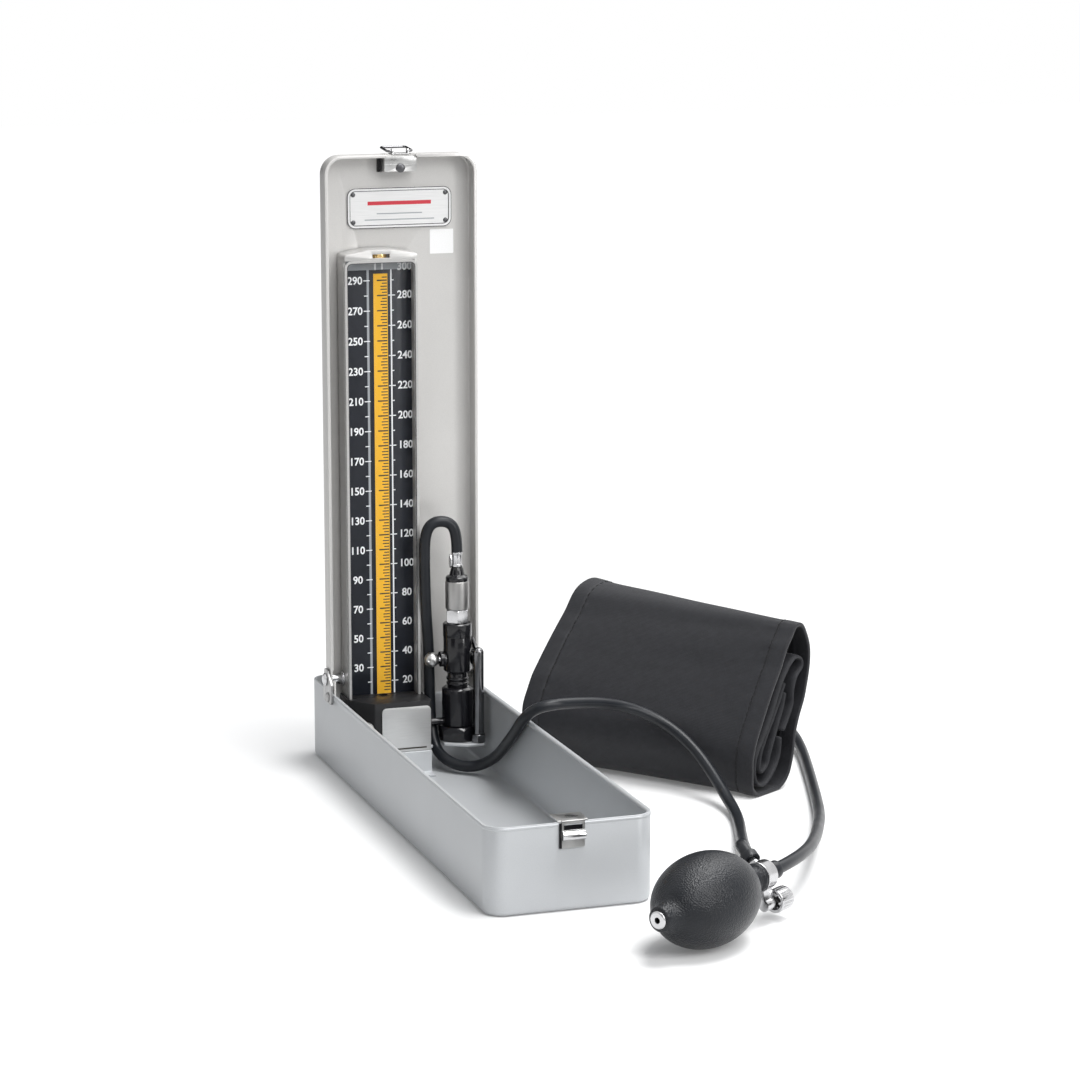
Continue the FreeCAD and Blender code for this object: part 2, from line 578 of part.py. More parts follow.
def make_tube_cap():
    z = HOUSING_TOP
    return turned([(TUBE_R, 0), (TUBE_CAP_R, 0), (TUBE_CAP_R, TUBE_CAP_H), (0.8, TUBE_CAP_H), (0.8, TUBE_IN),
                   (TUBE_R, TUBE_IN)], V(TUBE_X, TUBE_Y, z), Z_AXIS)


def make_tube_gland():
    """Seal ring where the glass tube enters the cistern block."""
    return tube(V(TUBE_X, TUBE_Y, BLOCK_TOP - GLAND_H), Z_AXIS, GLAND_R, TUBE_R, GLAND_H)


def make_cistern_block():
    corner_x, corner_y = BLOCK_LEFT + BLOCK_CHAMFER_X, BLOCK_FRONT + BLOCK_CHAMFER_Y
    back = PANEL_Y - SHELF_T
    outline = [(BLOCK_LEFT, back), (BLOCK_LEFT, corner_y), (corner_x, BLOCK_FRONT), (BLOCK_RIGHT, BLOCK_FRONT),
               (BLOCK_RIGHT, back)]
    body = prism([V(x, y, SHELF_TOP) for x, y in outline], Z_AXIS, BLOCK_H)
    body = body.makeFillet(2.0, edges_along(body, Z_AXIS, lambda p: p.y < back - 1))
    body = body.cut(rod(V(TUBE_X, TUBE_Y, SHELF_TOP + 6), Z_AXIS, TUBE_R, BLOCK_H))
    body = body.cut(rod(V(TUBE_X, TUBE_Y, BLOCK_TOP - GLAND_H), Z_AXIS, GLAND_R, GLAND_H))
    body = body.cut(rod(V(TUBE_X, TUBE_Y, PIPE_Z - 3), Z_AXIS, PIPE_BORE_R, 6))
    body = body.cut(rod(V(TUBE_X, COLUMN_Y, PIPE_Z), X_AXIS, PIPE_BORE_R, BLOCK_RIGHT - TUBE_X))
    body = body.cut(rod(V(TUBE_X, COLUMN_Y, PIPE_Z), Y_AXIS, PIPE_BORE_R, TUBE_Y - COLUMN_Y))
    return body


def make_block_screw():
    """Drain screw on the block's slanted corner."""
    start = V(BLOCK_LEFT + BLOCK_CHAMFER_X, BLOCK_FRONT, SHELF_TOP + BLOCK_H * 0.45)
    along = V(-BLOCK_CHAMFER_X, BLOCK_CHAMFER_Y, 0).normalize()
    outward = V(-along.y, along.x, 0)
    if outward.y > 0:
        outward = outward * -1
    seat = start + along * (math.hypot(BLOCK_CHAMFER_X, BLOCK_CHAMFER_Y) * 0.2)
    return turned([(0, 0), (4.0, 0), (4.0, 0.9), (3.0, 1.8), (0, 1.8)], seat, outward)


def make_label_plate():
    x1 = BLOCK_RIGHT - 1
    z1 = BLOCK_TOP - 3.2
    plate = block(x1 - LABEL_W, x1, BLOCK_FRONT - LABEL_T, BLOCK_FRONT, z1 - LABEL_H, z1)
    return plate.makeFillet(3.0, edges_along(plate, Y_AXIS, lambda p: p.z > z1 - 1))


def make_shelf():
    notch0 = BLOCK_RIGHT + 0.4
    notch1 = notch0 + HOSE_NOTCH
    rear = PANEL_Y - SHELF_T
    left_y = BLOCK_FRONT + BLOCK_CHAMFER_Y
    lip = BLOCK_FRONT
    notch_y = COLUMN_Y + NOTCH_BACK
    outline = [(-SHELF_HALF_REAR, rear), (-SHELF_HALF_REAR, left_y + 3), (BLOCK_LEFT, left_y),
               (BLOCK_LEFT + BLOCK_CHAMFER_X, lip), (notch0, lip), (notch0, notch_y), (notch1, notch_y),
               (notch1, COLUMN_Y - NOTCH_FRONT), (POST_X - 9, SHELF_FRONT), (SHELF_RIGHT, SHELF_FRONT),
               (SHELF_RIGHT, RIM_Y - 1.5), (SHELF_HALF_REAR, RIM_Y), (SHELF_HALF_REAR, rear)]
    shelf = prism([V(x, y, SHELF_Z) for x, y in outline], Z_AXIS, SHELF_T)
    flange = block(-SHELF_HALF_REAR, SHELF_HALF_REAR, rear, PANEL_Y, SHELF_Z, SHELF_Z + SHELF_UP)
    flange = flange.makeFillet(4.0, edges_along(flange, Y_AXIS, lambda p: p.z > SHELF_Z + 1))
    shelf = shelf.fuse(flange).removeSplitter()
    foot = edges_along(shelf, X_AXIS, lambda p: p.y > PANEL_Y - 0.01 and p.z < SHELF_Z + 0.01)
    shelf = shelf.makeChamfer(LID_FOLD_R - LID_T, foot)
    return shelf.cut(rod(V(COLUMN_X, COLUMN_Y, SHELF_Z), Z_AXIS, 4.0, SHELF_T))


def make_shelf_rivets():
    """Rivets through the lid's panel and the shelf's flange, right of the block."""
    solids = []
    z = SHELF_Z + SHELF_UP - RIVET_DOWN
    for out in RIVET_OUT:
        front = V(COLUMN_X + out, PANEL_Y - SHELF_T, z)
        head = turned([(0, 0), (RIVET_R, 0), (RIVET_R - 0.2, 0.7), (RIVET_R / 2, 1.2), (0, 1.2)], front, -Y_AXIS)
        solids.append(head)
    return Part.makeCompound(solids)


def make_stop_bracket():
    """Folded stop on the tray's floor, which the unit's foot rests against when open."""
    x0 = BLOCK_RIGHT - 1 - STOP_W
    x1 = BLOCK_RIGHT - 1
    back = BLOCK_FRONT - LABEL_T - CLEAR
    upright = block(x0, x1, back - STOP_T, back, TRAY_T, SHELF_Z - 3 * CLEAR)
    foot = block(x0, x1, back - STOP_DEPTH, back, TRAY_T, TRAY_T + STOP_T)
    return upright.fuse(foot).removeSplitter()


def make_spacers():
    solids = [tube(V(TUBE_X, PANEL_Y, z), -Y_AXIS, SPACER_R, SCREW_R, STANDOFF) for z in SPACER_Z]
    return Part.makeCompound(solids)


def make_housing_screws():
    solids = []
    length = LID_T + STANDOFF + HOUSING_T
    for z in SPACER_Z:
        screw = turned([(0, -length), (SCREW_R, -length), (SCREW_R, 0), (SCREW_HEAD_R, 0), (SCREW_HEAD_R, 0.5),
                        (0.7 * SCREW_HEAD_R, SCREW_HEAD_H), (0, SCREW_HEAD_H)], V(TUBE_X, LID_BACK, z), Y_AXIS)
        slot = block(TUBE_X - SCREW_HEAD_R, TUBE_X + SCREW_HEAD_R, LID_BACK + 0.7, LID_BACK + 3, z - 0.4, z + 0.4)
        solids.append(screw.cut(slot))
    return Part.makeCompound(solids)


# ---- reservoir column -------------------------------------------------------------------
def make_base_nut():
    nut = hexagon(COLUMN_X, COLUMN_Y, SHELF_TOP, BASE_NUT_AF, BASE_NUT_H, 30)
    spigot = rod(V(COLUMN_X, COLUMN_Y, SHELF_Z), Z_AXIS, 4.0, SHELF_T)
    return nut.fuse(spigot).removeSplitter()


def make_reservoir():
    r, w = RESERVOIR_R, RESERVOIR_WALL
    z0, z1 = RESERVOIR_Z, RESERVOIR_TOP
    shell = column_turned([(0, z0), (r - 0.8, z0), (r, z0 + 0.8), (r, z1 - 1.2), (r - 1.6, z1), (NECK_R - 0.6, z1),
                           (NECK_R - 0.6, z1 - w), (r - w, z1 - w), (r - w, z0 + w), (0, z0 + w)])
    pipe_hole = rod(V(COLUMN_X - r - 1, COLUMN_Y, PIPE_Z), X_AXIS, PIPE_R, w + 2)
    return shell.cut(pipe_hole)


def make_mercury():
    z0 = RESERVOIR_Z + RESERVOIR_WALL
    return rod(V(COLUMN_X, COLUMN_Y, z0), Z_AXIS, RESERVOIR_R - RESERVOIR_WALL, MERCURY_H)


def make_link_pipe():
    start = BLOCK_RIGHT
    end = COLUMN_X - RESERVOIR_R + RESERVOIR_WALL
    pipe = tube(V(start, COLUMN_Y, PIPE_Z), X_AXIS, PIPE_R, PIPE_BORE_R, end - start)
    return pipe.cut(rod(V(COLUMN_X, COLUMN_Y, PIPE_Z - 5), Z_AXIS, RESERVOIR_R - RESERVOIR_WALL, 10))


def make_neck():
    """Threaded neck with two raised rings between reservoir and tap body."""
    z0, z1 = RESERVOIR_TOP, TAP_Z
    r = NECK_R
    h = z1 - z0
    return column_turned([(TAP_BORE_R, z0), (r, z0), (r, z0 + 0.15 * h), (r + 0.7, z0 + 0.2 * h), (r + 0.7, z0 + 0.34 * h),
                          (r, z0 + 0.39 * h), (r, z0 + 0.5 * h), (r + 0.7, z0 + 0.55 * h), (r + 0.7, z0 + 0.69 * h),
                          (r, z0 + 0.74 * h), (r, z1), (TAP_BORE_R, z1)])


def make_tap_body():
    r = TAP_R
    z0, z1 = TAP_Z, TAP_TOP
    step = z1 - TAP_STEP
    body = column_turned([(TAP_BORE_R, z0), (NECK_R, z0), (r, z0 + 2.2), (r, step - 0.3), (r - 0.3, step - 0.3),
                          (r - 0.3, step + 0.3), (r + 0.3, step + 0.3), (r + 0.3, z1 - 0.8), (r - 0.5, z1), (TAP_BORE_R, z1)])
    cross = rod(V(COLUMN_X - 2 * r, COLUMN_Y, SPINDLE_Z), X_AXIS, SPINDLE_R + RUN, 4 * r)
    return body.cut(cross)


def make_tap_collar():
    """Gland nut on the left of the tap body, which keeps the spindle in."""
    face = COLUMN_X - TAP_R + 0.6
    collar = rod(V(face - COLLAR_L, COLUMN_Y, SPINDLE_Z), X_AXIS, COLLAR_R, COLLAR_L)
    collar = collar.cut(rod(V(COLUMN_X, COLUMN_Y, SPINDLE_Z - 10), Z_AXIS, TAP_R, 20))
    return collar.cut(rod(V(face - COLLAR_L - 1, COLUMN_Y, SPINDLE_Z), X_AXIS, SPINDLE_R + RUN, COLLAR_L + 2))


def make_tap_end_cap():
    """Blind cap over the spindle's far end."""
    face = COLUMN_X + TAP_R - 0.6
    cap = turned([(0, 0), (COLLAR_R, 0), (COLLAR_R, COLLAR_L - 0.8), (COLLAR_R - 0.8, COLLAR_L), (0, COLLAR_L)],
                 V(face, COLUMN_Y, SPINDLE_Z), X_AXIS)
    cap = cap.cut(rod(V(COLUMN_X, COLUMN_Y, SPINDLE_Z - 10), Z_AXIS, TAP_R, 20))
    return cap.cut(rod(V(face - 1, COLUMN_Y, SPINDLE_Z), X_AXIS, SPINDLE_R + RUN, 2.2))


def make_spindle():
    """Quarter-turn plug: a shaft with a cross hole, and the thin stem to the ball."""
    end = COLUMN_X + TAP_R
    start = COLUMN_X - TAP_R - COLLAR_L + 0.6
    ball_x = COLUMN_X - BALL_OUT
    plug = rod(V(start, COLUMN_Y, SPINDLE_Z), X_AXIS, SPINDLE_R, end - start)
    stem = rod(V(ball_x + 2, COLUMN_Y, SPINDLE_Z), X_AXIS, 1.5, start - ball_x - 2)
    spindle = plug.fuse(stem).removeSplitter()
    return spindle.cut(rod(V(COLUMN_X, COLUMN_Y, SPINDLE_Z - 5), Z_AXIS, 1.3, 10))


def make_ball_knob():
    centre = V(COLUMN_X - BALL_OUT, COLUMN_Y, SPINDLE_Z)
    ball = Part.makeSphere(BALL_R, centre)
    ball = ball.cut(rod(centre + X_AXIS * 2, X_AXIS, 1.5, BALL_R))
    dimple_at = centre + V(-0.55, -0.8, 0.1).normalize() * (BALL_R + 0.6)
    return ball.cut(Part.makeSphere(1.3, dimple_at))


def make_lock_nut():
    nut = hexagon(COLUMN_X, COLUMN_Y, TAP_TOP, LOCK_NUT_AF, LOCK_NUT_H, 15)
    return nut.cut(rod(V(COLUMN_X, COLUMN_Y, TAP_TOP), Z_AXIS, TAP_BORE_R, LOCK_NUT_H))


def make_sleeve():
    r = SLEEVE_R
    z0, z1 = SLEEVE_Z, CONE_Z
    return column_turned([(r - 2, z0), (r - 0.4, z0), (r, z0 + 0.6), (r, z1 - 0.3), (r - 0.3, z1), (r - 2, z1)])


def make_filter_pad():
    """Leather pad inside the sleeve that lets air through and holds mercury back."""
    return tube(V(COLUMN_X, COLUMN_Y, SLEEVE_Z), Z_AXIS, SLEEVE_R - 2, TAP_BORE_R, SLEEVE_H)


def make_cone_cap():
    z0, z1 = CONE_Z, FERRULE_Z
    r = CONE_R
    return column_turned([(BARB_R, z0), (r, z0), (r, z0 + 2.4), (r - 0.6, z0 + 3.0), (r - 2.4, z0 + 4.0),
                          (FERRULE_R + 0.4, z0 + 7.5), (FERRULE_R - 0.6, z1), (BARB_R, z1)])


def make_ferrule():
    z0, z1 = FERRULE_Z, FERRULE_TOP
    r = FERRULE_R
    return column_turned([(BARB_R, z0), (r, z0), (r, z0 + 1.2), (r - 0.5, z0 + 1.8), (r - 0.5, z1 - 1.8), (r, z1 - 1.2),
                          (r, z1), (BARB_R, z1)])


def make_ferrule_tag():
    """Oval clamp ear on the ferrule's left side."""
    centre = V(COLUMN_X - FERRULE_R + 0.4, COLUMN_Y, FERRULE_Z + 3.5)
    ear = Part.makeCylinder(2.6, 1.0, centre - X_AXIS * 1.6, X_AXIS)
    stretch = FreeCAD.Matrix()
    stretch.move(-centre)
    stretch.scale(1, 0.8, 1.7)
    stretch.move(centre)
    ear = ear.transformGeometry(stretch)
    stud = rod(centre - X_AXIS * 0.7, X_AXIS, 0.9, 0.8)
    return ear.fuse(stud).cut(rod(V(COLUMN_X, COLUMN_Y, FERRULE_Z), Z_AXIS, FERRULE_R, FERRULE_H))


def make_side_post():
    z0 = SHELF_TOP + POST_NUT_H
    top = SHELF_TOP + POST_H
    body = rod(V(POST_X, POST_Y, SHELF_TOP), Z_AXIS, POST_R - 1.0, POST_NUT_H)
    shaft = rod(V(POST_X, POST_Y, z0), Z_AXIS, POST_R, top - POST_R - z0)
    dome = Part.makeSphere(POST_R, V(POST_X, POST_Y, top - POST_R))
    return body.fuse([shaft, dome]).removeSplitter()


def make_post_nut():
    nut = hexagon(POST_X, POST_Y, SHELF_TOP, POST_NUT_AF, POST_NUT_H, 6.5)
    return nut.cut(rod(V(POST_X, POST_Y, SHELF_TOP), Z_AXIS, POST_R - 1.0, POST_NUT_H))


def arm_ends():
    """Upper end on the tap body's side and lower end on the post's side, as (y, z)."""
    high = V(0, COLUMN_Y - 1.0, TAP_Z + TAP_H * 0.62)
    low = V(0, POST_Y, SHELF_TOP + POST_H - 6.0)
    return high, low


def make_tie_arm():
    """Flat link that ties the top of the post to the tap body."""
    high, low = arm_ends()
    x0 = COLUMN_X + TAP_R + 0.05
    along = (low - high).normalize()
    side = V(0, -along.z, along.y) * (ARM_W / 2)
    points = [high + side, low + side, low - side, high - side]
    arm = prism([V(x0, p.y, p.z) for p in points], X_AXIS, ARM_T)
    for end in (high, low):
        arm = arm.fuse(rod(V(x0, end.y, end.z), X_AXIS, ARM_W / 2, ARM_T))
    arm = arm.removeSplitter()
    arm = arm.cut(rod(V(POST_X, POST_Y, 0), Z_AXIS, POST_R, 2 * HINGE_Z))
    return arm.cut(rod(V(COLUMN_X, COLUMN_Y, 0), Z_AXIS, TAP_R + 0.3, 2 * HINGE_Z))


# ---- name plate -------------------------------------------------------------------------
def make_name_plate():
    plate = block(NAME_X - NAME_W / 2, NAME_X + NAME_W / 2, PANEL_Y - NAME_T, PANEL_Y, NAME_Z - NAME_H / 2,
                  NAME_Z + NAME_H / 2)
    return plate.makeFillet(3.0, edges_along(plate, Y_AXIS))


def make_name_screws():
    solids = []
    for sx in (-1, 1):
        for sz in (-1, 1):
            seat = V(NAME_X + sx * (NAME_W / 2 - 4), PANEL_Y - NAME_T, NAME_Z + sz * (NAME_H / 2 - 4))
            r = NAME_SCREW_R
            solids.append(turned([(0, 0), (r, 0), (0.9 * r, 0.4), (0.4 * r, 0.8), (0, 0.8)], seat, -Y_AXIS))
    return Part.makeCompound(solids)


# ---- bulb and release valve -------------------------------------------------------------
def heading(azimuth, tilt):
    az, up = math.radians(azimuth), math.radians(tilt)
    return V(math.cos(up) * math.cos(az), math.cos(up) * math.sin(az), math.sin(up))


BULB_AXIS = heading(BULB_AZ, BULB_TILT)
BULB_SIDE = heading(BULB_AZ - 90, 0)
BULB_UP = BULB_SIDE.cross(BULB_AXIS)


def bulb_at(distance, side=0.0, drop=0.0):
    """A point along the bulb's axis from its middle, with offsets sideways and down."""
    return V(BULB_X, BULB_Y, BULB_Z) + BULB_AXIS * distance + BULB_SIDE * side - BULB_UP * drop


def egg_profile(radius, half_length, inner):
    """Points of the bulb's side from the inlet end to the neck end, outside an inner radius."""
    points = []
    steps = 20
    for k in range(steps + 1):
        angle = math.pi * k / steps
        r, h = radius * math.sin(angle), -half_length * math.cos(angle)
        if r >= inner:
            points.append((r, h))
    return points


def make_bulb():
    """Hollow rubber bulb with a thick nipple at the inlet and a lipped neck at the valve."""
    side = egg_profile(BULB_R, BULB_HALF_L, NECK_OUT_R)
    nipple = [(0, -INLET_AT), (NECK_OUT_R - 0.8, -INLET_AT), (NECK_OUT_R, -INLET_AT + 1.2)]
    neck = [(NECK_OUT_R, NECK_AT - 3), (NECK_OUT_R + NECK_LIP, NECK_AT - 2), (NECK_OUT_R + NECK_LIP, NECK_AT), (0, NECK_AT)]
    shell = turned(nipple + side + neck, bulb_at(0), BULB_AXIS)
    hollow = egg_profile(BULB_R - BULB_WALL, BULB_HALF_L - BULB_WALL, 3.0)
    hollow = [(0, hollow[0][1])] + hollow + [(0, hollow[-1][1])]
    shell = shell.cut(turned(hollow, bulb_at(0), BULB_AXIS))
    shell = shell.cut(rod(bulb_at(-INLET_AT), BULB_AXIS, INLET_R - 1.0, INLET_AT - 20))
    return shell.cut(rod(bulb_at(20), BULB_AXIS, VALVE_R - 3.6, NECK_AT - 20))


def make_inlet_valve():
    """Plated inlet: rim and bore outside, and a caged chamber for the flap inside."""
    r = INLET_R
    cage = INLET_SEAT + FLAP_T + FLAP_TRAVEL + CLEAR
    profile = [(INLET_BORE_R, -1.6), (r - 0.8, -1.6), (r, -1.0), (r, 0), (r - 1.0, 0), (r - 1.0, cage + 0.6),
               (INLET_BORE_R, cage + 0.6), (INLET_BORE_R, cage), (FLAP_R + RUN, cage), (FLAP_R + RUN, INLET_SEAT),
               (INLET_BORE_R, INLET_SEAT)]
    return turned(profile, bulb_at(-INLET_AT), BULB_AXIS)


def make_inlet_flap():
    """Rubber disc that lets air in and not out."""
    return rod(bulb_at(-INLET_AT + INLET_SEAT), BULB_AXIS, FLAP_R, FLAP_T)


def valve_ports():
    """Mouth and outward heading of the gauge hose's port and of the cuff hose's port."""
    back = V(-0.15, 0.87, 0.47).normalize()
    return [(bulb_at(NECK_AT + 5) + back * (VALVE_R + PORT_L), back), (bulb_at(BODY_END + PORT_L), BULB_AXIS)]


def make_valve_body():
    """Plated body: spigot in the bulb's neck, wide collar, two ports and the release screw's boss."""
    r, neck = VALVE_R, NECK_AT
    profile = [(0, -9), (r - 3.6, -9), (r - 3.6, 0), (r + 0.5, 0), (r + 0.5, 1.2), (r, 2.2), (r, VALVE_L - 1.2),
               (r - 1.2, VALVE_L), (0, VALVE_L)]
    body = turned(profile, bulb_at(neck), BULB_AXIS)
    boss = rod(bulb_at(BODY_END - BOSS_L, BOSS_SIDE, BOSS_DROP), BULB_AXIS, BOSS_R, BOSS_L)
    web_half = BOSS_R - 1.4
    low, high = bulb_at(BODY_END - BOSS_L, BOSS_SIDE, BOSS_DROP), bulb_at(BODY_END - BOSS_L)
    web = prism([low - BULB_SIDE * web_half, low + BULB_SIDE * web_half, high + BULB_SIDE * web_half,
                 high - BULB_SIDE * web_half], BULB_AXIS, BOSS_L - 1.4)
    body = body.fuse([boss, web])
    for mouth, way in valve_ports():
        body = body.fuse(rod(mouth - way * (VALVE_R + PORT_L - 1), way, PORT_R, VALVE_R + PORT_L - 1))
    body = body.removeSplitter()
    body = body.cut(rod(bulb_at(neck - 9), BULB_AXIS, VALVE_BORE_R, VALVE_L + 9 + PORT_L))
    back_mouth, back = valve_ports()[0]
    body = body.cut(rod(back_mouth - back * (VALVE_R + PORT_L), back, VALVE_BORE_R - 0.6, VALVE_R + PORT_L))
    down = BULB_SIDE * BOSS_SIDE - BULB_UP * BOSS_DROP
    reach = down.Length - STEM_R
    body = body.cut(rod(bulb_at(BODY_END - 5), down.normalize(), 1.0, reach))
    stem_depth = BOSS_L - 2.5
    return body.cut(rod(bulb_at(BODY_END - stem_depth, BOSS_SIDE, BOSS_DROP), BULB_AXIS, STEM_R + RUN, stem_depth))


def make_release_needle():
    """Stem of the release screw, tapered at its inner end, which slides out as the knob turns."""
    reach = BOSS_L - 2.5 - CLEAR
    profile = [(0, -reach), (NEEDLE_R, -reach), (STEM_R, -reach + 3.5), (STEM_R, KNOB_L - KNOB_WALL), (0, KNOB_L - KNOB_WALL)]
    return turned(profile, bulb_at(KNOB_FACE, BOSS_SIDE, BOSS_DROP), BULB_AXIS)


def make_release_knob():
    """Hollow knurled thumb cap round the stem, open towards the valve."""
    r, length = KNOB_R, KNOB_L
    bore = STEM_R + RUN / 2
    seat = 0.55 * length
    profile = [(r - KNOB_WALL, 0), (r - 0.5, 0), (r, 0.5), (r, length - 0.7), (r - 0.7, length), (0, length),
               (0, length - KNOB_WALL), (bore, length - KNOB_WALL), (bore, seat), (r - KNOB_WALL, seat)]
    face = bulb_at(KNOB_FACE, BOSS_SIDE, BOSS_DROP)
    knob = turned(profile, face, BULB_AXIS)
    place = FreeCAD.Placement(face, FreeCAD.Rotation(Z_AXIS, BULB_AXIS))
    grooves = []
    for k in range(KNURLS):
        groove = rod(V(KNOB_R + 0.3, 0, 0.9), Z_AXIS, 0.6, length)
        groove.rotate(V(0, 0, 0), Z_AXIS, 360.0 * k / KNURLS)
        groove.Placement = place.multiply(groove.Placement)
        grooves.append(groove)
    return knob.cut(Part.makeCompound(grooves))


def make_hose_collars():
    """Black ferrules pushed over the hoses' ends at the valve."""
    collars = []
    for mouth, way in valve_ports():
        collars.append(tube(mouth + way * 0.2, way, COLLAR_OUT_R, HOSE_R, COLLAR_LONG))
    return Part.makeCompound(collars)


# ---- cuff -------------------------------------------------------------------------------
def cuff_axes():
    az = math.radians(CUFF_AZ)
    along = V(math.cos(az), math.sin(az), 0)
    deep = V(math.sin(az), -math.cos(az), 0)
    return along, deep


def cuff_point(s, z, t=0.0):
    along, deep = cuff_axes()
    return V(CUFF_X, CUFF_Y, 0) + along * t + deep * s + Z_AXIS * z


def shrunk(points, amount):
    """The outline's points drawn in towards their middle, by this much on average."""
    mid_s = sum(p[0] for p in points) / len(points)
    mid_z = sum(p[1] for p in points) / len(points)
    reach = sum(math.hypot(s - mid_s, z - mid_z) for s, z in points) / len(points)
    keep = 1 - amount / reach
    return [(mid_s + (s - mid_s) * keep, mid_z + (z - mid_z) * keep) for s, z in points]


def cuff_loop(depth, t):
    """The roll's outline at a distance along its axis, at a depth inside the cloth."""
    share = t / CUFF_L
    points = []
    for near, far in zip(shrunk(CUFF_NEAR, depth), shrunk(CUFF_FAR, depth)):
        points.append(cuff_point(near[0] + (far[0] - near[0]) * share, near[1] + (far[1] - near[1]) * share, t))
    curve = Part.BSplineCurve()
    curve.interpolate(points, PeriodicFlag=True)
    return Part.Wire(curve.toShape())


def cuff_loft(depth, start, end):
    return Part.makeLoft([cuff_loop(depth, start), cuff_loop(depth, end)], True, True)


def make_cuff_wrap():
    """Outer turn of the rolled cuff: a closed band of cloth, open at both ends."""
    wrap = cuff_loft(0, 0, CUFF_L).cut(cuff_loft(CUFF_T, -1, CUFF_L + 1))
    box = wrap.BoundBox
    return wrap.cut(block(box.XMin - 1, box.XMax + 1, box.YMin - 1, box.YMax + 1, box.ZMin - 1, 0))


def roll_layer(depth, thickness, inset):
    """A closed turn of the roll, at a depth inside the cuff's outline and set in from its ends."""
    outer = cuff_loft(depth, inset, CUFF_L - inset)
    return outer.cut(cuff_loft(depth + thickness, inset - 1, CUFF_L - inset + 1))


def make_cuff_inner_turn():
    """Inner turn of the roll, drawn back a little from both ends."""
    return roll_layer(CUFF_T + LAYER_GAP, CUFF_T, 3)


def make_cuff_bladder():
    """Rubber bladder in the middle of the roll, folded round on itself."""
    return roll_layer(2 * (CUFF_T + LAYER_GAP), BLADDER_T, 9)


# ---- hoses ------------------------------------------------------------------------------
def hose_along(name, route):
    """A tube along straight runs joined by tangent arcs as large as the runs allow."""
    points = [V(*p) for p in route]
    edges, last, radii = [], points[0], []
    for before, corner, after in zip(points, points[1:], points[2:]):
        setback = 0.45 * min((before - corner).Length, (after - corner).Length)
        arc, enter, leave, radius = corner_arc(before, corner, after, setback)
        edges += [Part.LineSegment(last, enter).toShape(), arc]
        radii.append(radius)
        last = leave
    edges.append(Part.LineSegment(last, points[-1]).toShape())
    path = Part.Wire(edges)
    ring = Part.Wire(Part.Circle(points[0], (points[1] - points[0]).normalize(), HOSE_R).toShape())
    solid = path.makePipeShell([ring], True, False)
    expected = math.pi * HOSE_R ** 2 * path.Length
    print(name, "length %.1f" % path.Length, "volume ratio %.4f" % (solid.Volume / expected),
          "radii", " ".join("%.1f" % r for r in radii))
    return solid


def gauge_hose_route():
    """From the column's ferrule down behind it, over the tray's rim, along the table and up to the valve."""
    mouth, way = valve_ports()[0]
    end, near = mouth + way * 0.2, mouth + way * 15
    top = FERRULE_TOP
    return [(COLUMN_X, COLUMN_Y, top), (COLUMN_X, COLUMN_Y, top + 12), (26.4, 125.0, top + 20),
            (15.6, 126.2, top + 20.4), (10.4, 127.0, top + 12.4), (10.2, 127.4, top - 8), (11.4, 129.4, 106),
            (14.3, 133.2, 79), (14.8, 133.6, 54), (14.7, 131.8, 31), (15.2, 124, 15), (18.0, 112.0, 9.4),
            (26.0, 102.0, 6.0), (36.6, 94.0, 7.6), (42.8, 79.0, 17.0), (43.8, 61.0, 29.5), (44.2, 44.0, 42.0),
            (44.6, 29.5, 54.0), (49.0, 19.0, 62.6), (60.0, 16.5, 65.0),
            (75, 22, 63.5), (95, 31, 60), (116, 39, 54), (134, 34, 46.5), (146, 23.5, 38), (153.5, 10, 28.5),
            (158, -5, 18), (159.5, -23, 8.6), (157.5, -44, 4.2), (151.5, -66, 3.8), (142.5, -91, 4.6), (131, -122, 8.5),
            (118, -158, 15), (104.5, -192, 25), (94, -213, 33), tuple(near), tuple(end)]


def cuff_hose_route():
    """From the valve along the table, round the cuff's end and into its back."""
    mouth, way = valve_ports()[1]
    port = cuff_port()
    _, deep = cuff_axes()
    inlet = port + deep * (CUFF_T + 6)
    out = inlet + deep * 13
    return [tuple(mouth + way * 0.2), tuple(mouth + way * 14), (141, -197, 21), (160, -166, 13.5), (177, -129, 7.5),
            (194, -91, 4.4), (210, -52, 3.8), (226, -8, 3.8), (240, 32, 3.8), (253, 70, 4.4), (259, 100, 8),
            (254, 122, 17), (out.x + 8, out.y + 16, 34), (out.x + 5, out.y + 3, 50), tuple(out), tuple(inlet)]


def cuff_port():
    """Where the hose connector leaves the back of the cuff."""
    return cuff_point(CUFF_PORT[0], CUFF_PORT[1], CUFF_L * 0.52)


def make_cuff_connector():
    """Tapered rubber connector on the cuff's back that takes the hose."""
    _, deep = cuff_axes()
    port = cuff_port()
    stub = turned([(0, -1), (7.5, -1), (7.0, 1.5), (5.2, 3.5), (5.2, CUFF_T + 6), (0, CUFF_T + 6)], port, deep)
    return stub.cut(cuff_loft(0, 0, CUFF_L))


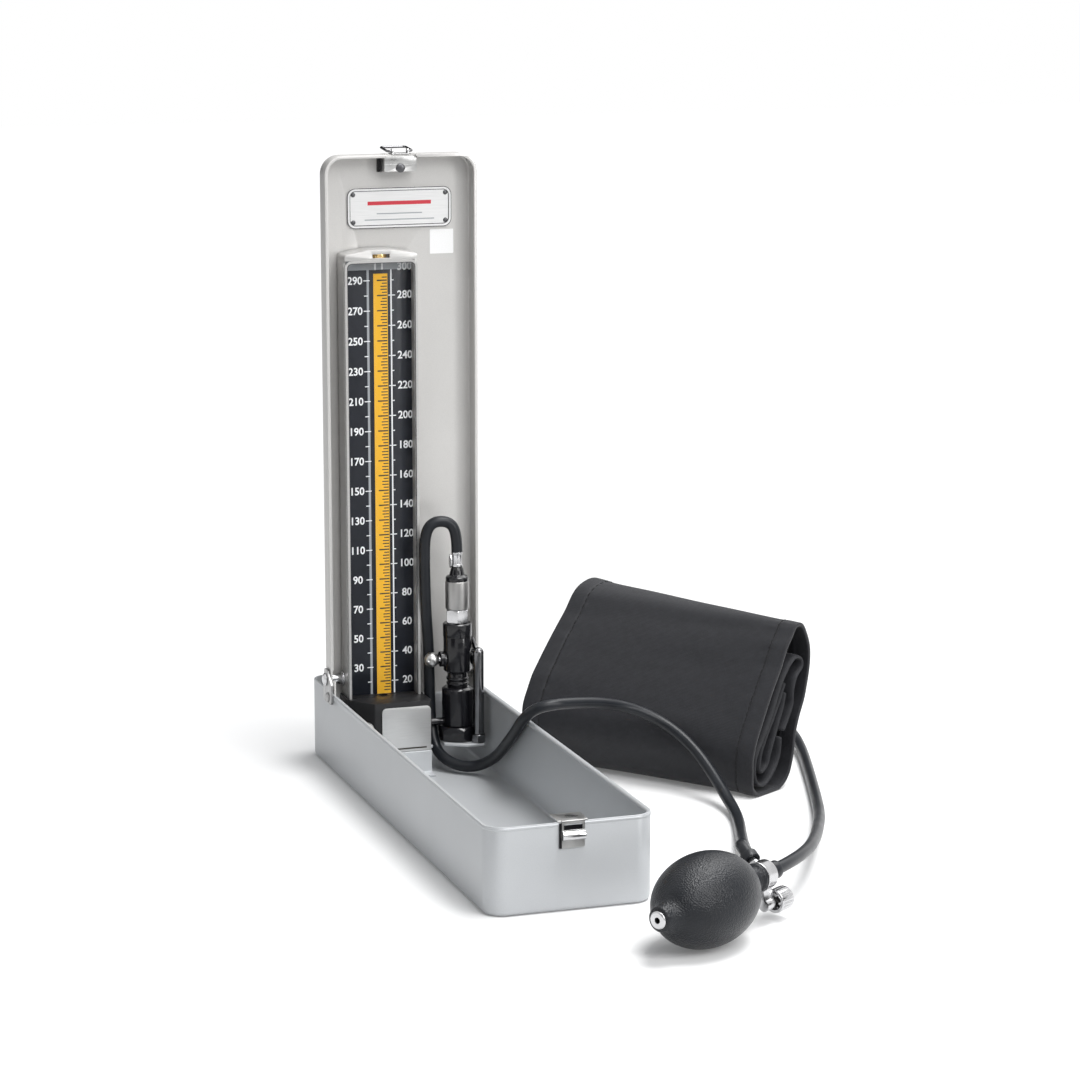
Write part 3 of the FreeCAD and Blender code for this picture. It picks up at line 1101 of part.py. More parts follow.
# ---- every node -------------------------------------------------------------------------
def main():
    os.makedirs("parts", exist_ok=True)
    plate = make_hinge_plate()
    screws = make_hinge_screw_side()
    nodes = {
        "tray": make_tray(),
        "hinge_plate_right": plate,
        "hinge_plate_left": mirrored(plate),
        "hinge_plate_screws": Part.makeCompound(screws + [mirrored(s) for s in screws]),
        "stop_bracket": make_stop_bracket(),
        "catch_plate": make_catch_plate(),
        "catch_hook": make_catch_hook(),
        "lid": make_lid(),
        "hinge_pins": make_hinge_pins(),
        "lid_keeper": make_keeper(),
        "keeper_screw": make_keeper_screw(),
        "hasp_lugs": make_hasp_lugs(),
        "hasp_loop": make_hasp(),
        "name_plate": make_name_plate(),
        "name_plate_screws": make_name_screws(),
        "manometer_housing": make_housing(),
        "housing_cap": make_housing_cap(),
        "clear_cover": make_cover(),
        "scale_plate": make_scale_plate(),
        "glass_tube": make_glass_tube(),
        "tube_top_cap": make_tube_cap(),
        "tube_gland": make_tube_gland(),
        "housing_spacers": make_spacers(),
        "housing_screws": make_housing_screws(),
        "cistern_block": make_cistern_block(),
        "drain_screw": make_block_screw(),
        "label_plate": make_label_plate(),
        "unit_shelf": make_shelf(),
        "shelf_rivets": make_shelf_rivets(),
        "link_pipe": make_link_pipe(),
        "base_nut": make_base_nut(),
        "reservoir": make_reservoir(),
        "mercury": make_mercury(),
        "reservoir_neck": make_neck(),
        "tap_body": make_tap_body(),
        "tap_gland_nut": make_tap_collar(),
        "tap_end_cap": make_tap_end_cap(),
        "tap_spindle": make_spindle(),
        "tap_ball_knob": make_ball_knob(),
        "lock_nut": make_lock_nut(),
        "filter_sleeve": make_sleeve(),
        "filter_pad": make_filter_pad(),
        "cone_cap": make_cone_cap(),
        "hose_ferrule": Part.makeCompound([make_ferrule(), make_ferrule_tag()]),
        "side_post": make_side_post(),
        "post_nut": make_post_nut(),
        "tie_arm": make_tie_arm(),
        "bulb": make_bulb(),
        "inlet_valve": make_inlet_valve(),
        "inlet_flap": make_inlet_flap(),
        "valve_body": make_valve_body(),
        "release_needle": make_release_needle(),
        "release_knob": make_release_knob(),
        "hose_collars": make_hose_collars(),
        "cuff_wrap": make_cuff_wrap(),
        "cuff_inner_turn": make_cuff_inner_turn(),
        "cuff_bladder": make_cuff_bladder(),
        "cuff_connector": make_cuff_connector(),
        "gauge_hose": hose_along("gauge_hose", gauge_hose_route()),
        "cuff_hose": hose_along("cuff_hose", cuff_hose_route()),
    }
    for name, shape in nodes.items():
        if not shape.isValid():
            print("NOT VALID", name)
        shape.exportStep("parts/%s.step" % name)
    print(len(nodes), "nodes")
    print("case", CASE_W, CASE_L, TRAY_H, "hinge", HINGE_Y, HINGE_Z, "lid top", LID_TOP, "ferrule top", FERRULE_TOP)


main()
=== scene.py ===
"""Looks of a desk mercury blood pressure set: case, scale, column, cuff, bulb and hoses.

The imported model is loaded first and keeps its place, and every new piece takes its place from it.
Shapes are worked out in millimetres and made in metres.
"""
import json
import math

import bmesh
import bpy
from bpy.props import FloatProperty, FloatVectorProperty, IntProperty, PointerProperty
from mathutils import Matrix, Vector, noise

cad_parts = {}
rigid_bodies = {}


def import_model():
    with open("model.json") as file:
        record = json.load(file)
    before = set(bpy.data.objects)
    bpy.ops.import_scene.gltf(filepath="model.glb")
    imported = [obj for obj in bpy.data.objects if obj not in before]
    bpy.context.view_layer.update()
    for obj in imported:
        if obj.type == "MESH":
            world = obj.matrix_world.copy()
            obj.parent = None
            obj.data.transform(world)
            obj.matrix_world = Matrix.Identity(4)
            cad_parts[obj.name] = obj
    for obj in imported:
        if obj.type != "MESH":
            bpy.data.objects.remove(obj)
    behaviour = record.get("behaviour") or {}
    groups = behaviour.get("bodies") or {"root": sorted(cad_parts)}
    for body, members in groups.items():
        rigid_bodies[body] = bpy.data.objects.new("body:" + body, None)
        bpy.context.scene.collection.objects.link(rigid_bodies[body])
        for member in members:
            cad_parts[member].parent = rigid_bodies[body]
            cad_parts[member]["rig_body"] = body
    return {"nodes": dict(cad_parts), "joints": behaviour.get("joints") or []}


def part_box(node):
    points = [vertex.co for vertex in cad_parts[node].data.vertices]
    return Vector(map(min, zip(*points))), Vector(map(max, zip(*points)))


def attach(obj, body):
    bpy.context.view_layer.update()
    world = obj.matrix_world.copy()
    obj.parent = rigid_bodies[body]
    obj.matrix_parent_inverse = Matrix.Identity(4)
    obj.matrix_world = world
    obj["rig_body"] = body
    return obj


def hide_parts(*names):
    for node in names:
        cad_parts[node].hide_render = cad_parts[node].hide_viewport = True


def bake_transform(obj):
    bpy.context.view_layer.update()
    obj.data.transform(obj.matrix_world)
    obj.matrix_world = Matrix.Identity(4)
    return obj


bl_info = {
    "name": "Desk Mercury Manometer",
    "version": (1, 0, 0),
    "blender": (4, 5, 0),
    "location": "3D View > Sidebar > Manometer",
    "description": "Finishes the case, scale, column, cuff, bulb and hoses of a desk blood pressure set",
    "category": "Object",
}

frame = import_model()
NODES = frame["nodes"]
JOINTS = {joint["name"]: joint for joint in frame["joints"]}
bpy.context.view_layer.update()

MM = 0.001
WELD = 0.002 * MM          # corners of a node's loose triangles closer than this are one
SEAM = 0.01 * MM           # corners of a new shape closer than this are one
FLAT = math.radians(0.6)   # faces that turn less than this are one flat face
SHARP = math.radians(32)   # edges that turn more than this are rounded or creased

# ---- hoses: control points of their lines, in millimetres ----
GAUGE_ROUTE = [
    (31, 124, 143.2), (31, 124, 155.2), (26.4, 125, 163.2), (15.6, 126.2, 163.6), (10.4, 127, 155.6),
    (10.2, 127.4, 135.2), (11.4, 129.4, 106), (14.3, 133.2, 79), (14.8, 133.6, 54), (14.7, 131.8, 31),
    (15.2, 124, 15), (18, 112, 9.4), (26, 102, 6), (36.6, 94, 7.6), (42.8, 79, 17), (43.8, 61, 29.5),
    (44.2, 44, 42), (44.6, 29.5, 54), (49, 19, 62.6), (60, 16.5, 65), (75, 22, 63.5), (95, 31, 60),
    (116, 39, 54), (134, 34, 46.5), (146, 23.5, 38), (153.5, 10, 28.5), (158, -5, 18), (159.5, -23, 8.6),
    (157.5, -44, 4.2), (151.5, -66, 3.8), (142.5, -91, 4.6), (131, -122, 8.5), (118, -158, 15),
    (104.5, -192, 25), (94, -213, 33), (88.18, -222.27, 39.44), (90.4, -235.15, 32.48),
]
CUFF_ROUTE = [
    (99.61, -240.39, 27.18), (111.18, -232.88, 27.43), (139, -199, 23.5), (161, -160, 17.5), (181, -119, 11.5),
    (200, -78, 6.8), (216, -36, 4.2), (230, 4, 3.8), (243, 42, 3.8), (254, 76, 4.4), (259, 100, 8),
    (254, 122, 17), (214.68, 117.56, 34), (211.68, 104.56, 50), (206.68, 101.56, 62), (195.67, 94.65, 62),
]

# ---- cuff: sections (depth, height) of its turns, in millimetres ----
CUFF_NEAR = [(10, 0), (2, 4), (0.5, 16), (2, 30), (12, 52), (27, 77), (41, 98), (49, 105), (57, 98), (62, 80),
             (57.5, 60), (48, 38), (45, 20), (38, 6), (24, 0)]
CUFF_FAR = [(0, 0), (-16, 5), (-28, 18), (-34, 38), (-27, 56), (-10, 77), (8, 96), (27, 113), (52, 110),
            (58, 90), (56, 62), (52, 40), (46, 20), (36, 6), (18, 0)]
INNER_TURN = [(33, 34), (31, 22), (24, 12), (15, 6.5), (8.5, 9.5), (7, 24), (14, 35), (21.5, 47), (28.5, 59.5),
              (36.5, 72), (44, 79.5), (51, 82), (55.5, 77.5), (49, 70.5), (45.5, 62), (45, 53), (40.5, 44.5),
              (36, 37)]
BLADDER_FOLD = [(39.5, 68), (34, 56.5), (27, 45.5), (19, 34), (13.5, 22.5), (14.5, 14), (20.5, 15.5),
                (25.5, 25), (29.5, 34), (34, 43.5), (38.5, 52.5), (41, 61)]
CUFF_CORNER = Vector((182.7, -11.7, 0))    # front lower corner of the rolled cuff's near end
CUFF_HEADING = math.radians(122.1)         # heading of the roll's axis from +X
CUFF_LENGTH = 160.0
FOLD_STEPS = 24
WRAP_SEED, INNER_SEED, BLADDER_SEED = 1.3, 5.1, 9.4
# waves of the cloth: (length round the roll, length along it, shift of the seed)
BROAD_WAVE, FINE_WAVE, PUCKER = (38, 55, 0), (12, 34, 7), (4.5, 20, 3)
FINE_SHARE = 0.35                          # height of the fine waves against the broad ones
PUCKER_RISE, PUCKER_REACH = 0.55, 6        # puckers on both sides of the stitching
HEM_RISE, HEM_EDGE, HEM_RAMP = 0.55, 1.2, 0.35
DIP, DIP_REACH = 0.75, 0.7                 # dip along the stitching
TABLE_GAP = 0.15                           # the cloth stays at least this far above the table

# ---- bulb: (radius, height) of the ends that its egg lies between, in millimetres ----
BULB_NIPPLE = [(0, -37), (3.6, -37), (3.6, -42.6), (4.1, -43.2), (6.2, -43.2), (6.9, -42.6), (7.15, -41.4),
               (7.3, -39.6), (7.9, -37.9)]
BULB_NECK = [(7.8, 37.0), (7.2, 38.6), (7.0, 41.0), (7.0, 44.4), (7.4, 45.2), (8.2, 45.7), (8.4, 46.4),
             (8.4, 47.4), (8.0, 48.0), (4.8, 48.0), (4.8, 46), (0, 46)]
EGG_STEPS = 40
EGG_MOUTH = 9.6            # the egg starts and ends at this radius
FLAP_TO_MIDDLE = 36.6      # from the inlet flap to the bulb's middle

# ---- studio: name: (place, width and height), in metres ----
SET_MIDDLE = Vector((0.05, 0, 0.12))       # what the lamps and boards face
LAMPS = {
    "key": ((1.25, 0.75, 1.9), (1.5, 1.5)), "front": ((0.4, -2.1, 2.0), (1.6, 1.6)),
    "top": ((0.6, -0.35, 2.4), (1.1, 1.0)), "streak": ((1.3, -1.7, 0.9), (0.40, 1.4)),
}
BOARDS = {
    "left_board": ((-2.0, -1.4, 0.7), (1.5, 1.3)), "right_board": ((2.2, -1.2, 0.5), (1.2, 1.2)),
    "front_board": ((0.5, -3.0, 0.1), (2.4, 0.55)), "top_board": ((0.9, -0.9, 2.9), (0.9, 0.5)),
    "back_board": ((0.1, 2.3, 0.9), (3.2, 1.5)),
}

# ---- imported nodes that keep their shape: (finish, rounded edge in mm) ----
CASE_NODES = {"tray": ("tray_paint", 0.3), "lid": ("lid_paint", 0.3), "stop_bracket": ("tray_paint", 0.25)}
FITTING_NODES = {
    "hinge_plate_right": ("plated", 0.3), "hinge_plate_left": ("plated", 0.3),
    "hinge_plate_screws": ("plated", 0.1), "hinge_pins": ("chrome", 0.2), "catch_plate": ("satin_steel", 0.25),
    "catch_hook": ("chrome", 0.2), "lid_keeper": ("satin_steel", 0.25), "keeper_screw": ("dark_screw", 0.15),
    "hasp_lugs": ("plated", 0.15), "hasp_loop": ("black_chrome", 0), "name_plate_screws": ("dark_screw", 0),
    "drain_screw": ("plated", 0.1), "shelf_rivets": ("plated", 0), "housing_screws": ("plated", 0.1),
    "housing_spacers": ("plated", 0.1),
}
COLUMN_NODES = {
    "unit_shelf": ("shelf_paint", 0.3), "cistern_block": ("black_satin", 0.5), "base_nut": ("black_gloss", 0.5),
    "reservoir": ("black_gloss", 0.3), "reservoir_neck": ("black_gloss", 0.2), "tap_body": ("black_gloss", 0.4),
    "tap_gland_nut": ("black_gloss", 0.2), "tap_end_cap": ("black_gloss", 0.3), "tap_spindle": ("chrome", 0.1),
    "tap_ball_knob": ("satin_steel", 0), "lock_nut": ("chrome", 0.35), "filter_sleeve": ("satin_sleeve", 0.3),
    "cone_cap": ("black_gloss", 0.3), "hose_ferrule": ("chrome", 0.2), "side_post": ("black_chrome", 0.3),
    "post_nut": ("black_chrome", 0.3), "tie_arm": ("black_gloss", 0.2), "link_pipe": ("black_gloss", 0.1),
}
GAUGE_NODES = {
    "manometer_housing": ("housing_metal", 0.3), "housing_cap": ("housing_metal", 0.5),
    "clear_cover": ("clear_cover", 0.2), "scale_plate": ("scale_black", 0.1), "tube_top_cap": ("brass", 0.2),
    "tube_gland": ("black_rubber", 0.1), "label_plate": ("label_plate", 0.1),
}
VALVE_NODES = {
    "inlet_valve": ("chrome", 0.15), "valve_body": ("chrome", 0.35), "release_knob": ("chrome", 0.15),
    "hose_collars": ("black_rubber", 0.3), "cuff_connector": ("black_rubber", 0.3),
}
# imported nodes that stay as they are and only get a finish
HIDDEN_NODES = {
    "mercury": "mercury", "filter_pad": "leather", "inlet_flap": "black_rubber", "release_needle": "plated",
}


# ---- settings ----
class PaintSettings(bpy.types.PropertyGroup):
    """Colours and grain of the case's enamel."""
    tray: FloatVectorProperty(name="Tray", description="Colour of the tray's enamel", subtype="COLOR",
                              size=3, min=0, max=1, default=(0.51, 0.525, 0.54))
    lid: FloatVectorProperty(name="Lid", description="Colour of the lid's enamel", subtype="COLOR",
                             size=3, min=0, max=1, default=(0.62, 0.61, 0.595))
    grain: FloatProperty(name="Grain", description="Width of one dimple of the hammered enamel",
                         default=0.9 * MM, min=0.1 * MM, unit="LENGTH")
    depth: FloatProperty(name="Depth", description="Depth of the enamel's dimples",
                         default=0.020 * MM, min=0, unit="LENGTH")


class ScaleSettings(bpy.types.PropertyGroup):
    """Print on the scale plate."""
    zero: FloatProperty(name="Zero", description="Height of the zero line above the table",
                        default=38.0 * MM, unit="LENGTH")
    per_unit: FloatProperty(name="Per unit", description="Height of one millimetre of mercury on the scale",
                            default=0.968 * MM, unit="LENGTH", precision=6)
    top: IntProperty(name="Top", description="Highest reading", default=300, min=20)
    numeral: FloatProperty(name="Numeral", description="Height of a numeral",
                           default=5.0 * MM, unit="LENGTH")
    condense: FloatProperty(name="Condense", description="Width of a numeral against its natural width",
                            default=0.95, min=0.3, max=1.2, subtype="FACTOR")
    strip: FloatProperty(name="Strip", description="Width of the yellow strip",
                         default=9.3 * MM, unit="LENGTH")
    line: FloatProperty(name="Line", description="Thickness of a fine line",
                        default=0.88 * MM, unit="LENGTH")


class CuffSettings(bpy.types.PropertyGroup):
    """Cloth of the rolled cuff."""
    cloth: FloatVectorProperty(name="Cloth", description="Colour of the nylon", subtype="COLOR",
                               size=3, min=0, max=1, default=(0.0125, 0.013, 0.016))
    wall: FloatProperty(name="Wall", description="Thickness of the doubled cloth",
                        default=2.6 * MM, unit="LENGTH")
    hem: FloatProperty(name="Hem", description="Stitching's distance from the edge",
                       default=11.5 * MM, unit="LENGTH")
    stitch: FloatProperty(name="Stitch", description="Length of one stitch", default=2.3 * MM, unit="LENGTH")
    pitch: FloatProperty(name="Pitch", description="Distance from stitch to stitch",
                         default=3.5 * MM, unit="LENGTH")
    wave: FloatProperty(name="Wave", description="Height of the soft waves in the cloth",
                        default=1.0 * MM, unit="LENGTH")


class RubberSettings(bpy.types.PropertyGroup):
    """Hoses and bulb."""
    colour: FloatVectorProperty(name="Colour", description="Colour of the rubber", subtype="COLOR",
                                size=3, min=0, max=1, default=(0.010, 0.0115, 0.0145))
    hose: FloatProperty(name="Hose", description="Outside diameter of the hoses",
                        default=7.2 * MM, min=1 * MM, unit="LENGTH")
    bulb: FloatProperty(name="Bulb", description="Largest radius of the bulb",
                        default=26.1 * MM, unit="LENGTH")
    bulb_half: FloatProperty(name="Bulb half length", description="Half the length of the bulb's egg",
                             default=37.0 * MM, unit="LENGTH")
    pebble: FloatProperty(name="Pebble", description="Width of one pebble of the bulb's skin",
                          default=0.95 * MM, min=0.1 * MM, unit="LENGTH")


class StageSettings(bpy.types.PropertyGroup):
    """Floor, lamps and camera."""
    camera: FloatVectorProperty(name="Camera", description="Place of the camera", subtype="TRANSLATION",
                                size=3, unit="LENGTH", default=(-0.5885, -1.8734, 0.5648))
    target: FloatVectorProperty(name="Target", description="Point that the camera looks at",
                                subtype="TRANSLATION", size=3, unit="LENGTH", default=(0.0456, 0, 0.1732))
    lens: FloatProperty(name="Lens", description="Focal length of the camera in millimetres", default=110.28)
    floor: FloatProperty(name="Floor", description="Half the width of the floor", default=6.0, unit="LENGTH")
    key: FloatProperty(name="Key", description="Power of the large lamp behind on the right",
                       default=22, unit="POWER")
    front: FloatProperty(name="Front", description="Power of the soft lamp in front",
                         default=38, unit="POWER")
    top: FloatProperty(name="Top", description="Power of the broad lamp overhead", default=46, unit="POWER")
    streak: FloatProperty(name="Streak", description="Power of the tall narrow lamp on the right",
                          default=14, unit="POWER")
    ambient: FloatProperty(name="Ambient", description="Strength of the room's light on the object",
                           default=0.24, min=0)


# ---- node trees ----
def new_material(name, colour, metallic=0.0, roughness=0.5, specular=0.5):
    """A material with one Principled shader; returns (material, tree, shader)."""
    material = bpy.data.materials.new(name)
    material.use_nodes = True
    tree = material.node_tree
    shader = tree.nodes["Principled BSDF"]
    shader.inputs["Base Color"].default_value = (*colour, 1)
    shader.inputs["Metallic"].default_value = metallic
    shader.inputs["Roughness"].default_value = roughness
    shader.inputs["Specular IOR Level"].default_value = specular
    return material, tree, shader


def place_coords(tree, stretch=(1, 1, 1)):
    """Object coordinates, stretched."""
    coords = tree.nodes.new("ShaderNodeTexCoord")
    mapping = tree.nodes.new("ShaderNodeMapping")
    mapping.inputs["Scale"].default_value = stretch
    tree.links.new(coords.outputs["Object"], mapping.inputs["Vector"])
    return mapping.outputs["Vector"]


def speckle(tree, vector, cell, detail=2.0, rough=0.5):
    """Soft noise whose blotches are about one cell wide."""
    node = tree.nodes.new("ShaderNodeTexNoise")
    node.inputs["Scale"].default_value = 1 / cell
    node.inputs["Detail"].default_value = detail
    node.inputs["Roughness"].default_value = rough
    tree.links.new(vector, node.inputs["Vector"])
    return node.outputs["Fac"]


def spread(tree, value, low, high, from_low=0.3, from_high=0.7):
    """A value spread over another range."""
    node = tree.nodes.new("ShaderNodeMapRange")
    for name, number in (("From Min", from_low), ("From Max", from_high), ("To Min", low), ("To Max", high)):
        node.inputs[name].default_value = number
    tree.links.new(value, node.inputs["Value"])
    return node.outputs["Result"]


def combined(tree, operation, first, second):
    """Two values put together by a Math node."""
    node = tree.nodes.new("ShaderNodeMath")
    node.operation = operation
    tree.links.new(first, node.inputs[0])
    tree.links.new(second, node.inputs[1])
    return node.outputs[0]


def blend_colours(tree, factor, first, second):
    """Two colours mixed by a factor, into a socket."""
    node = tree.nodes.new("ShaderNodeMix")
    node.data_type = "RGBA"
    node.inputs["A"].default_value = (*first, 1)
    node.inputs["B"].default_value = (*second, 1)
    tree.links.new(factor, node.inputs["Factor"])
    return node.outputs["Result"]


def shaded(colour, amount):
    """A colour made darker or lighter by a factor."""
    return tuple(min(1.0, channel * amount) for channel in colour)


def mottle(tree, shader, value, colour, dark, light):
    """A base colour that wanders between a darker and a lighter shade of it."""
    mixed = blend_colours(tree, spread(tree, value, 0, 1), shaded(colour, dark), shaded(colour, light))
    tree.links.new(mixed, shader.inputs["Base Color"])


def roughen(tree, shader, value, roughness, low, high):
    """A roughness that wanders between two shares of it."""
    tree.links.new(spread(tree, value, roughness * low, roughness * high), shader.inputs["Roughness"])


def press_in(tree, shader, height, depth, strength=1.0, under=None):
    """A bump of a depth in metres on the shader's normal; under is a bump below it."""
    node = tree.nodes.new("ShaderNodeBump")
    node.inputs["Strength"].default_value = strength
    node.inputs["Distance"].default_value = depth
    tree.links.new(height, node.inputs["Height"])
    if under is not None:
        tree.links.new(under, node.inputs["Normal"])
    tree.links.new(node.outputs["Normal"], shader.inputs["Normal"])
    return node.outputs["Normal"]


# ---- finishes ----
def enamel(name, colour):
    """Fine hammered silver enamel: soft dimples, flake sparkle and faint blotches."""
    paint = bpy.context.scene.manometer_paint
    material, tree, shader = new_material(name, colour, metallic=0.25, roughness=0.40)
    coords = place_coords(tree)
    blotch = speckle(tree, coords, 40 * MM, detail=3)
    flake = speckle(tree, coords, paint.grain * 0.55)
    glitter = tree.nodes.new("ShaderNodeMix")
    glitter.data_type = "RGBA"
    glitter.blend_type = "MULTIPLY"
    glitter.inputs["Factor"].default_value = 1
    base = blend_colours(tree, spread(tree, blotch, 0.25, 0.75), shaded(colour, 0.965), shaded(colour, 1.035))
    tree.links.new(base, glitter.inputs["A"])
    tree.links.new(blend_colours(tree, spread(tree, flake, 0, 1), (0.93, 0.93, 0.93), (1, 1, 1)),
                   glitter.inputs["B"])
    tree.links.new(glitter.outputs["Result"], shader.inputs["Base Color"])
    roughen(tree, shader, flake, 0.40, 0.80, 1.15)
    press_in(tree, shader, speckle(tree, coords, paint.grain, detail=1), paint.depth)
    return material


def brushed(name, colour, roughness, grain=(1, 1, 12), depth=0.004):
    """Bare or plated metal with fine drawn lines along its grain and a little smudging."""
    material, tree, shader = new_material(name, colour, metallic=1.0, roughness=roughness)
    lines = speckle(tree, place_coords(tree, stretch=grain), 1.2 * MM, detail=3)
    smudge = speckle(tree, place_coords(tree), 9 * MM, detail=3)
    mottle(tree, shader, smudge, colour, 0.9, 1.05)
    roughen(tree, shader, smudge, roughness, 0.75, 1.3)
    press_in(tree, shader, lines, depth * MM)
    return material


def plate_metal(name, colour):
    """Printed aluminium sheet: pale, slightly satin, with a soft sheen along it."""
    material, tree, shader = new_material(name, colour, metallic=0.55, roughness=0.33)
    lines = speckle(tree, place_coords(tree, stretch=(1, 1, 40)), 14 * MM, detail=4)
    mottle(tree, shader, lines, colour, 0.94, 1.05)
    press_in(tree, shader, lines, 0.003 * MM)
    return material


def lacquer(name, colour, roughness, orange_peel=0.002, coat=0.0):
    """Enamel or moulding, glossy under a coat, with faint waves in its surface."""
    material, tree, shader = new_material(name, colour, roughness=roughness, specular=0.34)
    shader.inputs["Coat Weight"].default_value = coat
    shader.inputs["Coat Roughness"].default_value = 0.06
    coords = place_coords(tree)
    haze = speckle(tree, coords, 7 * MM, detail=3)
    mottle(tree, shader, haze, colour, 0.9, 1.12)
    roughen(tree, shader, haze, roughness, 0.94, 1.08)
    press_in(tree, shader, speckle(tree, coords, 1.6 * MM, detail=1), orange_peel * MM)
    return material


def ink(name, colour, roughness=0.5):
    """Printed ink: even colour with slight unevenness of the print."""
    material, tree, shader = new_material(name, colour, roughness=roughness)
    mottle(tree, shader, speckle(tree, place_coords(tree), 0.5 * MM, detail=3), colour, 0.96, 1.03)
    return material


def clear(name, tint, edge_alpha, roughness, specular):
    """Thin clear plastic or glass: seen through face on, brighter at its edges."""
    material, tree, shader = new_material(name, tint, roughness=roughness, specular=specular)
    edge = tree.nodes.new("ShaderNodeLayerWeight")
    edge.inputs["Blend"].default_value = 0.30
    tree.links.new(spread(tree, edge.outputs["Facing"], 0, edge_alpha, 0.15, 1.0), shader.inputs["Alpha"])
    roughen(tree, shader, speckle(tree, place_coords(tree), 12 * MM, detail=4), roughness, 0.7, 1.5)
    return material


def pebbled_rubber(name, colour, cell, depth, roughness):
    """Rubber skin of small round pebbles over faint blotches."""
    material, tree, shader = new_material(name, colour, roughness=roughness, specular=0.28)
    coords = place_coords(tree)
    cells = tree.nodes.new("ShaderNodeTexVoronoi")
    cells.inputs["Scale"].default_value = 1 / cell
    tree.links.new(coords, cells.inputs["Vector"])
    dust = speckle(tree, coords, 16 * MM, detail=4)
    mottle(tree, shader, dust, colour, 0.85, 1.25)
    roughen(tree, shader, dust, roughness, 0.9, 1.12)
    press_in(tree, shader, cells.outputs["Distance"], depth * MM)
    return material


def woven(name, colour):
    """Tight nylon plain weave read from the cloth's own map, with slubs and a low sheen."""
    material, tree, shader = new_material(name, colour, roughness=0.62, specular=0.30)
    shader.inputs["Sheen Weight"].default_value = 0.12
    shader.inputs["Sheen Roughness"].default_value = 0.45
    weave_map = tree.nodes.new("ShaderNodeUVMap")
    weave_map.uv_map = "cloth"
    threads = []
    for direction in ("X", "Y"):
        wave = tree.nodes.new("ShaderNodeTexWave")
        wave.wave_type = "BANDS"
        wave.bands_direction = direction
        wave.inputs["Scale"].default_value = 1 / (0.9 * MM) / math.tau * 2
        wave.inputs["Distortion"].default_value = 0.6
        wave.inputs["Detail"].default_value = 1
        tree.links.new(weave_map.outputs["UV"], wave.inputs["Vector"])
        threads.append(wave.outputs["Fac"])
    slub = speckle(tree, place_coords(tree), 5 * MM, detail=5, rough=0.6)
    mottle(tree, shader, slub, colour, 0.86, 1.18)
    slub_bump = press_in(tree, shader, slub, 0.25 * MM, strength=0.6)
    press_in(tree, shader, combined(tree, "MAXIMUM", *threads), 0.09 * MM, strength=0.8, under=slub_bump)
    return material


EVEN = (1, 1, 1)           # grain of a metal polished all round


def finish_recipes():
    """Each finish's slot, the function that makes it and what that function is given."""
    scene = bpy.context.scene
    paint, cloth, rubber = scene.manometer_paint, scene.manometer_cuff.cloth, scene.manometer_rubber
    return {
        "tray_paint": ("case_paint", enamel, paint.tray),
        "lid_paint": ("case_paint", enamel, paint.lid),
        "shelf_paint": ("case_paint", enamel, shaded(paint.tray, 1.05)),
        "plated": ("plated_steel", brushed, (0.36, 0.36, 0.36), 0.36),
        "dark_screw": ("plated_steel", brushed, (0.10, 0.10, 0.105), 0.30),
        "chrome": ("chrome", brushed, (0.56, 0.56, 0.57), 0.20, EVEN, 0.002),
        "satin_steel": ("chrome", brushed, (0.46, 0.46, 0.455), 0.33, EVEN, 0.001),
        "black_chrome": ("black_gloss", brushed, (0.16, 0.16, 0.165), 0.16, EVEN, 0.002),
        "brass": ("brass", brushed, (0.78, 0.55, 0.25), 0.22),
        "satin_sleeve": ("satin_sleeve", brushed, (0.36, 0.355, 0.35), 0.36, (1, 1, 30), 0.006),
        "mercury": ("mercury", brushed, (0.76, 0.77, 0.79), 0.05, EVEN, 0.001),
        "housing_metal": ("housing_plastic", plate_metal, (0.50, 0.495, 0.485)),
        "name_plate": ("name_plate", plate_metal, (0.80, 0.80, 0.80)),
        "label_plate": ("label_plate", plate_metal, (0.56, 0.56, 0.555)),
        "black_gloss": ("black_gloss", lacquer, (0.008, 0.008, 0.010), 0.18, 0.002, 0.2),
        "black_satin": ("black_gloss", lacquer, (0.012, 0.012, 0.013), 0.42),
        "scale_black": ("scale_paint", lacquer, (0.012, 0.014, 0.020), 0.34, 0.004),
        # white ink serves the print and the painted highlights of the tube on the head band
        "white_ink": ("scale_paint", ink, (0.92, 0.93, 0.94)),
        "grey_ink": ("scale_paint", ink, (0.36, 0.38, 0.40)),
        "yellow_ink": ("scale_paint", ink, (0.93, 0.50, 0.025)),
        "black_ink": ("scale_paint", ink, (0.030, 0.026, 0.018)),
        "red_ink": ("name_plate", ink, (0.62, 0.04, 0.06)),
        "white_label": ("label_plate", ink, (0.93, 0.93, 0.93), 0.4),
        "clear_cover": ("clear_cover", clear, (0.45, 0.46, 0.48), 0.30, 0.08, 0.10),
        "glass": ("glass", clear, (0.86, 0.88, 0.88), 0.10, 0.05, 0.25),
        "bulb_rubber": ("black_rubber", pebbled_rubber, rubber.colour, rubber.pebble, 0.24, 0.31),
        "black_rubber": ("black_rubber", pebbled_rubber, rubber.colour, 2.2 * MM, 0.01, 0.34),
        "leather": ("leather", pebbled_rubber, (0.28, 0.17, 0.09), 0.8 * MM, 0.05, 0.7),
        "cuff_cloth": ("cuff_cloth", woven, cloth),
        "thread": ("cuff_cloth", ink, shaded(cloth, 0.25), 0.9),
    }


def finish(name):
    """A finish's material, made once under a name that no packed material has, and its slot."""
    slot, make, *values = finish_recipes()[name]
    label = "finish_" + name
    return bpy.data.materials.get(label) or make(label, *values), slot


# ---- pieces ----
def new_object(name, data):
    """An object of this data, linked into the scene."""
    item = bpy.data.objects.new(name, data)
    bpy.context.scene.collection.objects.link(item)
    return item


def at(x, y, z):
    """A placement at a point in millimetres."""
    return Matrix.Translation(Vector((x, y, z)) * MM)


